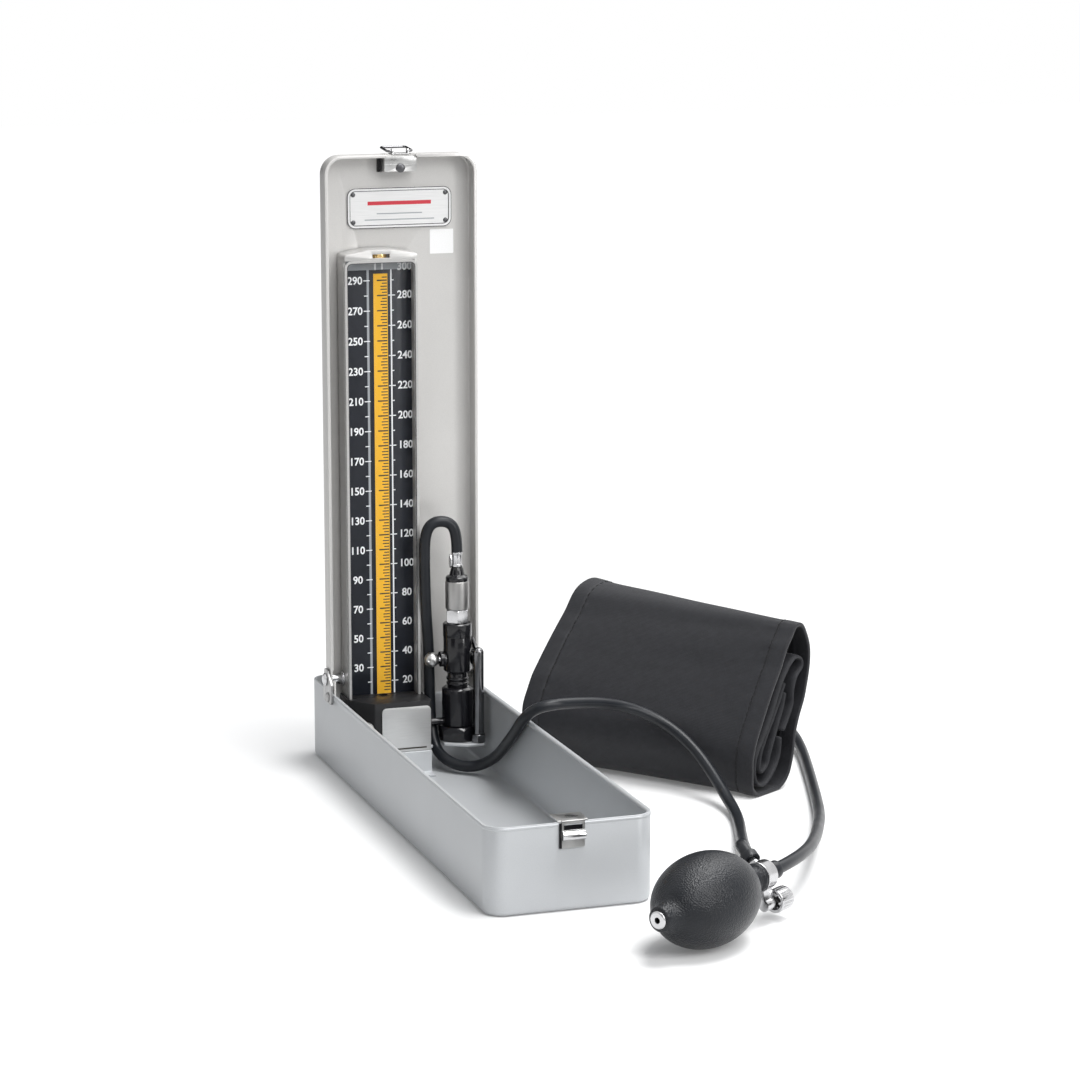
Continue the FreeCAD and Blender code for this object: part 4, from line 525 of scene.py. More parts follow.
def grown_verts(grown):
    """The new corners in the result of an extrusion."""
    return [item for item in grown["geom"] if isinstance(item, bmesh.types.BMVert)]


def add_piece(name, shape, finish_name, body=None, replaced=(), crease=SHARP):
    """A new object of a bmesh, with its finish and body, for the nodes that it replaces."""
    mesh = bpy.data.meshes.new(name)
    shape.to_mesh(mesh)
    shape.free()
    mesh.shade_smooth()
    mesh.set_sharp_from_angle(angle=crease)
    piece = new_object(name, mesh)
    material, slot = finish(finish_name)
    mesh.materials.append(material)
    if replaced:
        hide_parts(*replaced)
    if body:
        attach(piece, body)
    return piece


def ease_nodes(table):
    """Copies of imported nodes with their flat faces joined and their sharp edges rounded."""
    for node, (finish_name, round_by) in table.items():
        source = NODES[node]
        bm = bmesh.new()
        bm.from_mesh(source.data)
        bmesh.ops.remove_doubles(bm, verts=bm.verts, dist=WELD)
        bmesh.ops.dissolve_limit(bm, angle_limit=FLAT, use_dissolve_boundaries=False, verts=bm.verts,
                                 edges=bm.edges)
        if round_by:
            edges = [e for e in bm.edges if len(e.link_faces) == 2 and e.calc_face_angle() > SHARP]
            bmesh.ops.bevel(bm, geom=edges, offset=round_by * MM, offset_type="OFFSET", segments=2,
                            profile=0.5, affect="EDGES", clamp_overlap=True, loop_slide=True, material=-1)
        add_piece(node + "_finished", bm, finish_name, source["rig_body"], [node])


def box_mm(node):
    """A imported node's lowest and highest corner, in millimetres."""
    return [Vector(corner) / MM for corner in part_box(node)]


def from_mesh(mesh):
    """A bmesh of a mesh."""
    bm = bmesh.new()
    bm.from_mesh(mesh)
    return bm


def as_mesh(curve):
    """A curve or text turned into a mesh at its own origin."""
    holder = new_object("holder", curve)
    bpy.context.view_layer.update()
    mesh = bpy.data.meshes.new_from_object(holder.evaluated_get(bpy.context.evaluated_depsgraph_get()))
    bpy.data.objects.remove(holder)
    return mesh


def new_curve(kind, count, resolution=12):
    """A curve in space with one spline of a kind; returns (curve, spline)."""
    curve = bpy.data.curves.new("line", "CURVE")
    curve.dimensions = "3D"
    curve.resolution_u = resolution
    spline = curve.splines.new(kind)
    (spline.bezier_points if kind == "BEZIER" else spline.points).add(count - 1)
    return curve, spline


def round_bar(curve, radius, facets):
    """The curve as a round bar with closed ends."""
    curve.bevel_depth = radius
    curve.bevel_resolution = facets
    curve.use_fill_caps = True
    return from_mesh(as_mesh(curve))


def lathe(profile, place, steps):
    """A closed turned form from (radius, height) points in millimetres, about the place's own Z."""
    bm = bmesh.new()
    ring = [bm.verts.new((r * MM, 0, h * MM)) for r, h in profile]
    for first, second in zip(ring, ring[1:]):
        bm.edges.new((first, second))
    bmesh.ops.spin(bm, geom=bm.verts[:] + bm.edges[:], cent=(0, 0, 0), axis=(0, 0, 1), angle=math.tau,
                   steps=steps, use_merge=True)
    bmesh.ops.remove_doubles(bm, verts=bm.verts, dist=SEAM)
    bmesh.ops.recalc_face_normals(bm, faces=bm.faces)
    bmesh.ops.transform(bm, matrix=place, verts=bm.verts)
    return bm


def add_bars(name, finish_name, bars, body="lid_unit"):
    """A piece of upright bars, each given as (x0, x1, z0, z1, y0, y1) in millimetres."""
    bm = bmesh.new()
    for x0, x1, z0, z1, y0, y1 in bars:
        size = Matrix.Diagonal(((x1 - x0) * MM, (y1 - y0) * MM, (z1 - z0) * MM, 1))
        middle = at((x0 + x1) / 2, (y0 + y1) / 2, (z0 + z1) / 2)
        bmesh.ops.create_cube(bm, size=1, matrix=middle @ size)
    add_piece(name, bm, finish_name, body)


def add_panel(name, finish_name, low, high, lift, radius, inset=0.0, line=0.0, body="lid_unit", replaced=()):
    """An upright rounded panel of a thickness in front of low.y, drawn in by an inset.

    With a line width it is only a ring of that width. All in millimetres.
    """
    x0, x1, z0, z1 = low.x + inset, high.x - inset, low.z + inset, high.z - inset
    bm = bmesh.new()
    size = Matrix.Diagonal(((x1 - x0) * MM, (z1 - z0) * MM, 1, 1))
    upright = Matrix.Rotation(math.pi / 2, 4, "X")
    middle = at((x0 + x1) / 2, low.y, (z0 + z1) / 2)
    bmesh.ops.create_grid(bm, x_segments=1, y_segments=1, size=0.5, matrix=middle @ upright @ size)
    bmesh.ops.bevel(bm, geom=bm.verts[:], offset=radius * MM, segments=6, profile=0.5, affect="VERTICES",
                    material=-1)
    if line:
        bmesh.ops.inset_region(bm, faces=bm.faces[:], thickness=line * MM, use_boundary=True,
                               use_even_offset=True)
        inner = max(bm.faces, key=lambda face: len(face.verts))
        bmesh.ops.delete(bm, geom=[inner], context="FACES_ONLY")
    grown = bmesh.ops.extrude_face_region(bm, geom=bm.faces[:])
    bmesh.ops.translate(bm, verts=grown_verts(grown), vec=(0, -lift * MM, 0))
    bmesh.ops.recalc_face_normals(bm, faces=bm.faces)
    add_piece(name, bm, finish_name, body, replaced)


# ---- hoses ----
def route_curve(route):
    """A smooth curve whose control points are the route's points."""
    curve, spline = new_curve("NURBS", len(route))
    for point, place in zip(spline.points, route):
        point.co = (*(Vector(place) * MM), 1)
    spline.order_u = 3
    spline.use_endpoint_u = True
    return curve


def hose_shape(route, radius):
    """A hose as a bmesh tube, with the points of its middle line."""
    line = [vertex.co.copy() for vertex in as_mesh(route_curve(route)).vertices]
    bm = round_bar(route_curve(route), radius, facets=7)
    bmesh.ops.remove_doubles(bm, verts=bm.verts, dist=SEAM)
    bmesh.ops.recalc_face_normals(bm, faces=bm.faces)
    return bm, line


def arc_lengths(line):
    """Each point's distance from the first along a line."""
    arcs = [0.0]
    for first, second in zip(line, line[1:]):
        arcs.append(arcs[-1] + (second - first).length)
    return arcs


# ---- bulb ----
def bulb_frame():
    """Placement whose origin is the bulb's middle and whose Z runs from the inlet to the neck."""
    axis = Vector(JOINTS["flap_lift"]["axis"]).normalized()
    low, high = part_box("inlet_flap")
    middle = (low + high) / 2 + axis * FLAP_TO_MIDDLE * MM
    return Matrix.Translation(middle) @ axis.to_track_quat("Z", "Y").to_matrix().to_4x4()


def bulb_profile(radius, half_length):
    """(radius, height) points in millimetres: nipple, egg, neck and lip."""
    turns = [math.pi * k / EGG_STEPS for k in range(1, EGG_STEPS)]
    egg = [(radius * math.sin(turn), -half_length * math.cos(turn)) for turn in turns]
    return BULB_NIPPLE + [(r, h) for r, h in egg if r > EGG_MOUTH] + BULB_NECK


# ---- cuff ----
def section_line(points, cyclic):
    """Points (s, z) in millimetres along a smooth section line through the given points."""
    curve, spline = new_curve("BEZIER", len(points), resolution=9)
    for knot, (s, z) in zip(spline.bezier_points, points):
        knot.co = (s * MM, 0, z * MM)
        knot.handle_left_type = knot.handle_right_type = "AUTO"
    spline.use_cyclic_u = cyclic
    return [Vector((v.co.x / MM, v.co.z / MM)) for v in as_mesh(curve).vertices]


def cuff_place(s, z, t):
    """A point of the cuff in metres from its depth, height and distance along the roll."""
    along = Vector((math.cos(CUFF_HEADING), math.sin(CUFF_HEADING), 0))
    deep = Vector((math.sin(CUFF_HEADING), -math.cos(CUFF_HEADING), 0))
    return (CUFF_CORNER + along * t + deep * s + Vector((0, 0, z))) * MM


def section_normals(line, cyclic):
    """Outward directions in the section plane at each point of a line that runs clockwise."""
    normals = []
    count = len(line)
    for k in range(count):
        before = line[(k - 1) % count] if cyclic else line[max(k - 1, 0)]
        after = line[(k + 1) % count] if cyclic else line[min(k + 1, count - 1)]
        way = (after - before).normalized()
        normals.append(Vector((-way.y, way.x)))
    return normals


def from_hem(t):
    """How far a point along the roll lies inside the nearer hem's stitching."""
    return min(t, CUFF_LENGTH - t) - bpy.context.scene.manometer_cuff.hem / MM


def wave_at(wave, arc, t, seed):
    """One of the cloth's waves at a point, from -1 to 1."""
    length_round, length_along, shift = wave
    return noise.noise(Vector((arc / length_round, t / length_along, seed + shift)))


def cloth_rise(arc, t, seed, height):
    """The cloth's soft waves, puckers, doubled hem and the dip along its stitching, in millimetres."""
    inside = from_hem(t)
    broad = wave_at(BROAD_WAVE, arc, t, seed) * height
    fine = wave_at(FINE_WAVE, arc, t, seed) * height * FINE_SHARE
    pucker = wave_at(PUCKER, arc, t, seed) * PUCKER_RISE * math.exp(-(inside / PUCKER_REACH) ** 2)
    hem = HEM_RISE / (1 + math.exp((inside - HEM_EDGE) / HEM_RAMP))
    dip = DIP * math.exp(-(inside / DIP_REACH) ** 2)
    return broad + fine + pucker + (hem - dip)


def middle_of(points):
    """The middle of a section's points."""
    return Vector((sum(s for s, _ in points), sum(z for _, z in points))) / len(points)


def carried_far(point):
    """Where a point of the near end's section lies at the far end, as the outline changes round it."""
    near, far = middle_of(CUFF_NEAR), middle_of(CUFF_FAR)
    way = Vector(point) - near
    for k in range(len(CUFF_NEAR)):
        first, second = Vector(CUFF_NEAR[k - 1]) - near, Vector(CUFF_NEAR[k]) - near
        area = first.cross(second)
        along_first, along_second = way.cross(second) / area, first.cross(way) / area
        if along_first >= 0 and along_second >= 0:
            return (far + (Vector(CUFF_FAR[k - 1]) - far) * along_first
                    + (Vector(CUFF_FAR[k]) - far) * along_second)
    raise RuntimeError("No sector of the outline holds a fold's point")


def section_at(near, far, t, cyclic):
    """The section's line and outward normals at a distance along the roll."""
    line = [first.lerp(second, t / CUFF_LENGTH) for first, second in zip(near, far)]
    return line, section_normals(line, cyclic)


def grow_rows(bm, count, steps, cyclic):
    """Rows of vertices joined by faces: a line of edges, extruded again and again."""
    rows = [[bm.verts.new((0, 0, 0)) for _ in range(count)]]
    for k in range(count - (0 if cyclic else 1)):
        bm.edges.new((rows[0][k], rows[0][(k + 1) % count]))
    for _ in range(steps):
        last = set(rows[-1])
        border = [e for e in bm.edges if e.verts[0] in last and e.verts[1] in last]
        grown = bmesh.ops.extrude_edge_only(bm, edges=border)
        joined = {edge.other_vert(vert): vert for vert in grown_verts(grown) for edge in vert.link_edges
                  if edge.other_vert(vert) in last}
        rows.append([joined[vert] for vert in rows[-1]])
    return rows


def cloth_band(name, node, near, far, cyclic, stations, wave, seed):
    """A band of cloth between two end sections, run through stations along the roll."""
    arcs = arc_lengths([first.lerp(second, 0.5) for first, second in zip(near, far)])
    bm = bmesh.new()
    cloth_map = bm.loops.layers.uv.new("cloth")
    where = {}
    for row, t in zip(grow_rows(bm, len(near), len(stations) - 1, cyclic), stations):
        for vert, place, normal, arc in zip(row, *section_at(near, far, t, cyclic), arcs):
            s, z = place + normal * cloth_rise(arc, t, seed, wave)
            vert.co = cuff_place(s, max(z, TABLE_GAP), t)
            where[vert] = (arc, t)
    total = arcs[-1] + ((near[0] - near[-1]).length if cyclic else 0)
    for face in bm.faces:
        wraps = max(where[v][0] for v in face.verts) - min(where[v][0] for v in face.verts) > total / 2
        for loop in face.loops:
            arc, t = where[loop.vert]
            loop[cloth_map].uv = ((arc + (total if wraps and arc < total / 2 else 0)) * MM, t * MM)
    bmesh.ops.recalc_face_normals(bm, faces=bm.faces)
    piece = add_piece(name, bm, "cuff_cloth", "case_base", [node], crease=math.radians(80))
    thick = piece.modifiers.new("thickness", "SOLIDIFY")
    thick.thickness = bpy.context.scene.manometer_cuff.wall
    thick.offset = -1 if cyclic else 0
    thick.use_even_offset = False
    soft = piece.modifiers.new("soft", "SUBSURF")
    soft.levels = soft.render_levels = 1
    return arcs


def cuff_stations():
    """Distances along the roll, close together at the edges and stitching."""
    near = [0, 0.7, 2.2, 5.5, 9, 10.6, 11.5, 12.4, 13.4, 15.5, 20, 26]
    middle = [near[-1] + (CUFF_LENGTH - 2 * near[-1]) * k / 14 for k in range(1, 14)]
    return near + middle + [CUFF_LENGTH - t for t in reversed(near)]


def hem_stitches(near, far, arcs, wave, seed):
    """Short thread dashes along both hems of the outer turn, apart from where it lies on the table."""
    cuff = bpy.context.scene.manometer_cuff
    radius, above, lowest = 0.48 * MM, 0.12, 3
    hem, pitch = cuff.hem / MM, cuff.pitch / MM
    bm = bmesh.new()
    for t in (hem, CUFF_LENGTH - hem):
        line, normals = section_at(near, far, t, True)
        wanted = pitch
        for k in range(1, len(line)):
            while wanted <= arcs[k]:
                share = (wanted - arcs[k - 1]) / (arcs[k] - arcs[k - 1])
                place = line[k - 1].lerp(line[k], share)
                normal = normals[k - 1].lerp(normals[k], share).normalized()
                way = (line[k] - line[k - 1]).normalized()
                s, z = place + normal * (cloth_rise(wanted, t, seed, wave) + above)
                turn = (cuff_place(way.x, way.y, 0) - cuff_place(0, 0, 0)).to_track_quat("Z", "Y")
                shape = turn.to_matrix().to_4x4() @ Matrix.Diagonal((radius, radius, cuff.stitch, 1))
                if place.y > lowest:
                    bmesh.ops.create_cone(bm, cap_ends=True, segments=6, radius1=1, radius2=1, depth=1,
                                          matrix=Matrix.Translation(cuff_place(s, z, t)) @ shape)
                wanted += pitch
    return bm


# ---- operators ----
class MANOMETER_OT_stage(bpy.types.Operator):
    """Lays the white floor, hangs the lamps and places the camera"""
    bl_idname = "manometer.stage"
    bl_label = "Stage"

    FLOOR_HEIGHT = -0.2 * MM       # a little under the set, so that no two faces lie in one plane

    def execute(self, context):
        stage = context.scene.manometer_stage
        context.scene.view_settings.view_transform = "Standard"
        self.add_camera(context, stage)
        self.add_sheet("floor", self.floor_material(), (2 * stage.floor, 2 * stage.floor),
                       self.FLOOR_HEIGHT)
        self.add_world(context, stage)
        board_paint = new_material("board", (0.02, 0.02, 0.022))[0]
        for name, (place, size) in BOARDS.items():
            self.add_board(self.add_sheet(name, board_paint, size), place)
        for name, (place, size) in LAMPS.items():
            self.add_lamp(name + "_lamp", place, size, getattr(stage, name))
        return {"FINISHED"}

    def facing_set(self, place, axis):
        """The turn that points this axis of an object at a place towards the set."""
        return (SET_MIDDLE - Vector(place)).to_track_quat(axis, "Y").to_euler()

    def add_camera(self, context, stage):
        """The scene's camera, looking from its place at the target."""
        data = bpy.data.cameras.new("camera")
        data.lens = stage.lens
        data.sensor_width = 36
        camera = context.scene.camera = new_object("camera", data)
        camera.location = stage.camera
        aim = Vector(stage.target) - Vector(stage.camera)
        camera.rotation_euler = aim.to_track_quat("-Z", "Y").to_euler()

    def add_sheet(self, name, material, size, height=0.0):
        """A flat sheet of the studio, of a width and length in metres."""
        bm = bmesh.new()
        shape = Matrix.Translation((0, 0, height)) @ Matrix.Diagonal((*size, 1, 1))
        bmesh.ops.create_grid(bm, x_segments=1, y_segments=1, size=0.5, matrix=shape)
        mesh = bpy.data.meshes.new(name)
        bm.to_mesh(mesh)
        bm.free()
        mesh.materials.append(material)
        sheet = new_object(name, mesh)
        return sheet

    def add_board(self, board, place):
        """A dark board beside the set, seen only in its bright metal and gloss."""
        board.location = place
        board.rotation_euler = self.facing_set(place, "Z")
        board.visible_camera = board.visible_diffuse = False
        board.visible_shadow = board.visible_transmission = False

    def add_lamp(self, name, place, size, power):
        """A rectangular lamp of a width, a height and a power, facing the set."""
        data = bpy.data.lights.new(name, "AREA")
        data.shape = "RECTANGLE"
        data.size, data.size_y = size
        data.energy = power
        lamp = new_object(name, data)
        lamp.location = place
        lamp.rotation_euler = self.facing_set(place, "-Z")

    def floor_material(self):
        """White paper that shows soft shadows near the object and glows plain white farther off."""
        white = (0.80, 0.80, 0.80)
        material, tree, shader = new_material("paper", white, roughness=0.9, specular=0)
        away = tree.nodes.new("ShaderNodeVectorMath")
        away.operation = "LENGTH"
        tree.links.new(place_coords(tree), away.inputs[0])
        far = spread(tree, away.outputs["Value"], 0, 1, 0.42, 0.85)
        tree.links.new(blend_colours(tree, far, white, (0.02, 0.02, 0.02)), shader.inputs["Base Color"])
        glow = combined(tree, "MULTIPLY", self.seen_directly(tree), spread(tree, far, 0.12, 1.05, 0, 1))
        shader.inputs["Emission Color"].default_value = (1, 1, 1, 1)
        tree.links.new(glow, shader.inputs["Emission Strength"])
        return material

    def seen_directly(self, tree):
        """One for the rays that see a surface plainly, in the view, in a mirror or through glass."""
        rays = tree.nodes.new("ShaderNodeLightPath").outputs
        mirrored = combined(tree, "MAXIMUM", rays["Is Camera Ray"], rays["Is Glossy Ray"])
        return combined(tree, "MAXIMUM", mirrored, rays["Is Transmission Ray"])

    def add_world(self, context, stage):
        """Soft light on the set, and plain white where the room itself is seen."""
        world = bpy.data.worlds.new("room")
        world.use_nodes = True
        context.scene.world = world
        tree = world.node_tree
        room = tree.nodes["Background"]
        room.inputs["Color"].default_value = (0.94, 0.97, 1, 1)
        room.inputs["Strength"].default_value = stage.ambient
        white = tree.nodes.new("ShaderNodeBackground")
        white.inputs["Color"].default_value = (1, 1, 1, 1)
        choose = tree.nodes.new("ShaderNodeMixShader")
        tree.links.new(self.seen_directly(tree), choose.inputs["Fac"])
        tree.links.new(room.outputs[0], choose.inputs[1])
        tree.links.new(white.outputs[0], choose.inputs[2])
        tree.links.new(choose.outputs[0], tree.nodes["World Output"].inputs["Surface"])


class MANOMETER_OT_case(bpy.types.Operator):
    """Enamels the tray and the lid, and rolls the tray's rim"""
    bl_idname = "manometer.case"
    bl_label = "Case"

    # millimetres
    CORNER = 12        # radius of the tray's upright corners
    BEAD = 1.5         # radius of the rolled rim
    OUT = 0.35         # how far it stands outside the wall
    OPEN_FROM = 130    # where it ends, in front of the hinges

    def execute(self, context):
        ease_nodes(CASE_NODES)
        self.rim_bead()
        return {"FINISHED"}

    def rim_bead(self):
        """The tray's rolled hem: a bead along the wall's top, open behind at the hinges."""
        low, high = box_mm("tray")
        side, front = high.x + self.OUT - self.BEAD, low.y + self.CORNER
        reach = self.CORNER + self.OUT - self.BEAD
        outline = [(side, self.OPEN_FROM), (side, front)]
        for sign in (1, -1):
            for k in range(9):
                angle = math.pi / 2 * (k / 8 if sign > 0 else 1 - k / 8)
                outline.append((sign * (high.x - self.CORNER + reach * math.cos(angle)),
                                front - reach * math.sin(angle)))
        outline += [(-side, front), (-side, self.OPEN_FROM)]
        curve, spline = new_curve("POLY", len(outline))
        for point, (x, y) in zip(spline.points, outline):
            point.co = (x * MM, y * MM, (high.z - self.BEAD - 0.02) * MM, 1)
        add_piece("tray_rim_bead", round_bar(curve, self.BEAD * MM, facets=4), "tray_paint", "case_base",
                  crease=math.radians(60))


class MANOMETER_OT_fittings(bpy.types.Operator):
    """Plates the hinges, catch, keeper, hasp and screws"""
    bl_idname = "manometer.fittings"
    bl_label = "Fittings"

    def execute(self, context):
        ease_nodes(FITTING_NODES)
        self.keeper_backing()
        self.catch_backing()
        return {"FINISHED"}

    def keeper_backing(self):
        """A dark plate that stands out on the left behind the lid's keeper: painted shadow of the keeper's
        side.
        """
        low, high = box_mm("lid_keeper")
        add_bars("keeper_backing", "black_gloss",
                 [(low.x - 2.2, high.x - 1, low.z - 0.5, low.z + 9.4, high.y - 1.6, high.y - 0.1)])

    def catch_backing(self):
        """Painted shade: dark bars behind the catch plate's window and along its left edge, where the gap lies
        in shade.
        """
        low, high = box_mm("catch_hook")
        foot, top = box_mm("catch_plate")[0].z, box_mm("catch_plate")[1].z - 1.4
        wall = box_mm("tray")[0].y
        add_bars("catch_backing", "black_gloss",
                 [(low.x + 0.6, high.x - 0.6, low.z + 2, top, wall - 0.25, wall),
                  (low.x - 1.5, low.x + 0.3, foot, top, wall - 0.9, wall)], "case_base")


class MANOMETER_OT_column(bpy.types.Operator):
    """Finishes the shelf, cistern block, reservoir column and tap"""
    bl_idname = "manometer.column"
    bl_label = "Column"

    def execute(self, context):
        ease_nodes(COLUMN_NODES)
        for node, finish_name in HIDDEN_NODES.items():
            materials = NODES[node].data.materials
            materials.clear()
            materials.append(finish(finish_name)[0])
        return {"FINISHED"}


class MANOMETER_OT_gauge(bpy.types.Operator):
    """Finishes the housing, cover, scale plate and tube's cap"""
    bl_idname = "manometer.gauge"
    bl_label = "Gauge"

    def execute(self, context):
        ease_nodes(GAUGE_NODES)
        self.tube_glass()
        self.bezel()
        return {"FINISHED"}

    def tube_glass(self):
        """The tube as one clear rod round the mercury, so that light reaches the print behind it."""
        low, high = box_mm("glass_tube")
        radius, height = (high.x - low.x) / 2, high.z - low.z
        foot = at((low.x + high.x) / 2, (low.y + high.y) / 2, low.z)
        rod = lathe([(0, 0), (radius, 0), (radius, height), (0, height)], foot, steps=48)
        add_piece("tube_glass", rod, "glass", "lid_unit", ["glass_tube"])

    def bezel(self):
        """The housing's pale front edge with a dark line inside it, round at the upper corners."""
        low, high = box_mm("clear_cover")
        block_top = box_mm("cistern_block")[1].z
        for name, inset, line, lift, finish_name in (("edge", 0.0, 1.5, 0.4, "housing_metal"),
                                                     ("line", 1.5, 0.5, 0.2, "dark_screw")):
            foot = Vector((low.x, low.y, block_top - 6 - inset))
            add_panel("bezel_" + name, finish_name, foot, high, lift, 4.6 - inset, inset, line)


class MANOMETER_OT_scale_print(bpy.types.Operator):
    """Prints the strip, lines, ticks and numerals on the scale plate"""
    bl_idname = "manometer.scale_print"
    bl_label = "Scale print"

    # millimetres right of the tube
    STRIP, GLEAMS = 1.9, 0.8
    LEFT_LINE, RIGHT_LINE = -6.4, 8.9
    LEFT_NUMERALS, RIGHT_NUMERALS = -14.9, 17.8
    # millimetres; the layers of print stand 0.02 to 0.06 in front of the plate
    # the gleams are the glass tube's highlights, painted in white ink on the head band
    GLEAM_OUT, GLEAM_HALF = 2.3, 0.55       # from the middle between the gleams; half a gleam's width
    LEFT_HALF, RIGHT_HALF, TICK_HALF = 0.75, 0.45, 0.3     # half the thickness of the lines and ticks
    BAND = 7.0                              # height of the pale band across the scale's head
    STRIP_BELOW_BAND = 2.5
    NUMERAL_BELOW_COVER = 2.9
    TICKS = {0: 7.0, 4: 4.6, 6: 4.6}        # length of a fine tick by the reading's last digit
    SHORT_TICK = 3.7
    FONT_SIZE = 1.38                        # against the height of a numeral

    def execute(self, context):
        scale = context.scene.manometer_scale
        low, high = box_mm("scale_plate")
        tube = sum(corner.x for corner in box_mm("glass_tube")) / 2
        band_foot = high.z - self.BAND
        self.print_head(low, high, tube, band_foot)
        self.print_strip(scale, low, tube + self.STRIP, band_foot - self.STRIP_BELOW_BAND)
        self.print_lines(scale, low, tube, band_foot)
        self.print_numerals(scale, low, high, tube)
        return {"FINISHED"}

    def readings(self, scale, step, low, high, margin):
        """(reading, height) pairs from a line's thickness above low to a margin below high."""
        heights = ((reading, (scale.zero + scale.per_unit * reading) / MM) for reading in
                   range(0, scale.top + 1, step))
        return [(reading, z) for reading, z in heights if low + scale.line / MM < z < high - margin]

    def print_head(self, low, high, tube, foot):
        """The pale band across the scale's head, with the tube's two gleams painted on it in white ink as
        highlights.
        """
        add_bars("head_band", "grey_ink", [(low.x, high.x, foot, high.z, low.y - 0.02, low.y)])
        # painted highlights: two white bars where the tube's gleams show
        gleams = [tube + self.GLEAMS + shift for shift in (-self.GLEAM_OUT, self.GLEAM_OUT)]
        half = self.GLEAM_HALF
        add_bars("head_gleams", "white_ink",
                 [(x - half, x + half, foot, high.z, low.y - 0.04, low.y) for x in gleams])

    def print_strip(self, scale, low, middle, top):
        """The yellow strip and the fine ticks along its right edge."""
        half, line = scale.strip / MM / 2, scale.line / MM
        right = middle + half
        add_bars("yellow_strip", "yellow_ink", [(middle - half, right, low.z, top, low.y - 0.03, low.y)])
        ticks = []
        for reading, z in self.readings(scale, 2, low.z, top, line):
            half_tick = line * (0.5 if reading % 10 == 0 else 0.4)
            left = right - self.TICKS.get(reading % 10, self.SHORT_TICK)
            ticks.append((left, right - 0.35, z - half_tick, z + half_tick, low.y - 0.05, low.y - 0.03))
        add_bars("fine_ticks", "black_ink", ticks)

    def print_lines(self, scale, low, tube, top):
        """The white and the grey upright line, each with a tick at every ten."""
        face, front = low.y, low.y - 0.04
        left, right, half = tube + self.LEFT_LINE, tube + self.RIGHT_LINE, self.TICK_HALF
        left_bars = []
        right_bars = [(right - self.RIGHT_HALF, right + self.RIGHT_HALF, low.z, top, front, face)]
        for reading, z in self.readings(scale, 10, low.z, top, 0):
            even = reading % 20 == 0
            out, back = (2.6, 1.8) if even else (1.8, 0)
            right_bars.append((right - back, right + out, z - half, z + half, front, face))
            out, back = (2.5, 0) if even else (2.8, 1.2)
            if 0 < reading < scale.top:
                left_bars.append((left - out, left + back, z - half, z + half, front - 0.02, face))
        add_bars("right_line", "white_ink", right_bars)
        add_bars("left_line", "grey_ink",
                 [(left - self.LEFT_HALF, left + self.LEFT_HALF, low.z, top, front, face)])
        add_bars("left_ticks", "white_ink", left_bars)

    def print_numerals(self, scale, low, high, tube):
        """Even tens right of the tube and odd tens left of it; the top one stays inside the cover."""
        size = scale.numeral / MM
        highest = box_mm("clear_cover")[1].z - self.NUMERAL_BELOW_COVER - size / 2
        bm = bmesh.new()
        for reading in range(10, scale.top + 1, 10):
            z = (scale.zero + scale.per_unit * reading) / MM
            if low.z + size * 0.6 < z < high.z - size * 0.4:
                mesh = self.numeral(str(reading), scale.numeral, scale.condense)
                x = tube + (self.LEFT_NUMERALS if reading % 20 else self.RIGHT_NUMERALS)
                mesh.transform(at(x, low.y - 0.05, min(z, highest)))
                bm.from_mesh(mesh)
        add_piece("numerals", bm, "white_ink", "lid_unit")

    def numeral(self, text, height, condense):
        """Upright raised numerals facing the front, centred on the origin."""
        curve = bpy.data.curves.new("numeral", "FONT")
        curve.body = text
        curve.align_x, curve.align_y = "CENTER", "CENTER"
        curve.size = height * self.FONT_SIZE
        curve.extrude = 0.02 * MM
        curve.offset = 0.14 * MM
        curve.resolution_u = 4
        mesh = as_mesh(curve)
        mesh.transform(Matrix.Rotation(math.pi / 2, 4, "X") @ Matrix.Diagonal((condense, 1, 1, 1)))
        return mesh


class MANOMETER_OT_plates(bpy.types.Operator):
    """Makes the name plate's raised border and its plain rules, and the blank label"""
    bl_idname = "manometer.plates"
    bl_label = "Plates"

    # millimetres
    CORNER = 5.2
    LABEL_LEFT, LABEL_BELOW, LABEL = 22.3, 17.5, 15.6      # the label's place and its width
    # name: (inset, width, height)
    RIMS = {"outer": (0.0, 0.45, 0.30), "raised": (0.45, 1.2, 0.45), "inner": (1.65, 0.45, 0.15)}
    # name: (half its length, share of the plate's height, thickness, ink)
    RULES = {"red": (21, 0.62, 2.4, "red_ink"), "upper": (15, 0.36, 0.7, "grey_ink"),
             "lower": (23, 0.21, 0.7, "grey_ink")}

    def execute(self, context):
        low, high = box_mm("name_plate")
        self.name_plate(low, high)
        self.blank_label(Vector((self.LABEL_LEFT, high.y, low.z - self.LABEL_BELOW)))
        self.plate_slot()
        return {"FINISHED"}

    def name_plate(self, low, high):
        """The sheet, its three rims and the rules on it."""
        add_panel("name_plate_sheet", "name_plate", Vector((low.x, high.y, low.z)), high, high.y - low.y,
                  self.CORNER, replaced=["name_plate"])
        for name, (inset, width, lift) in self.RIMS.items():
            finish_name = "name_plate" if name == "raised" else "dark_screw"
            add_panel("name_plate_" + name + "_rim", finish_name, low, high, lift, self.CORNER - inset * 0.7,
                      inset, width)
        middle = (low.x + high.x) / 2
        for name, (half, share, thick, ink_name) in self.RULES.items():
            z = low.z + (high.z - low.z) * share
            add_bars("name_plate_" + name + "_rule", ink_name,
                     [(middle - half, middle + half, z - thick / 2, z + thick / 2, low.y - 0.05, low.y)])

    def blank_label(self, corner):
        """A small square of white paper right of the gauge, with nothing on it."""
        far_corner = corner + Vector((self.LABEL, 0, self.LABEL))
        add_panel("blank_label", "white_label", corner, far_corner, lift=0.12, radius=0.5)

    def plate_slot(self):
        """The dark line near the label plate's foot."""
        low, high = box_mm("label_plate")
        add_bars("label_plate_line", "black_ink",
                 [(low.x + 7, high.x - 3, low.z + 2.2, low.z + 3.2, low.y - 0.06, low.y)])


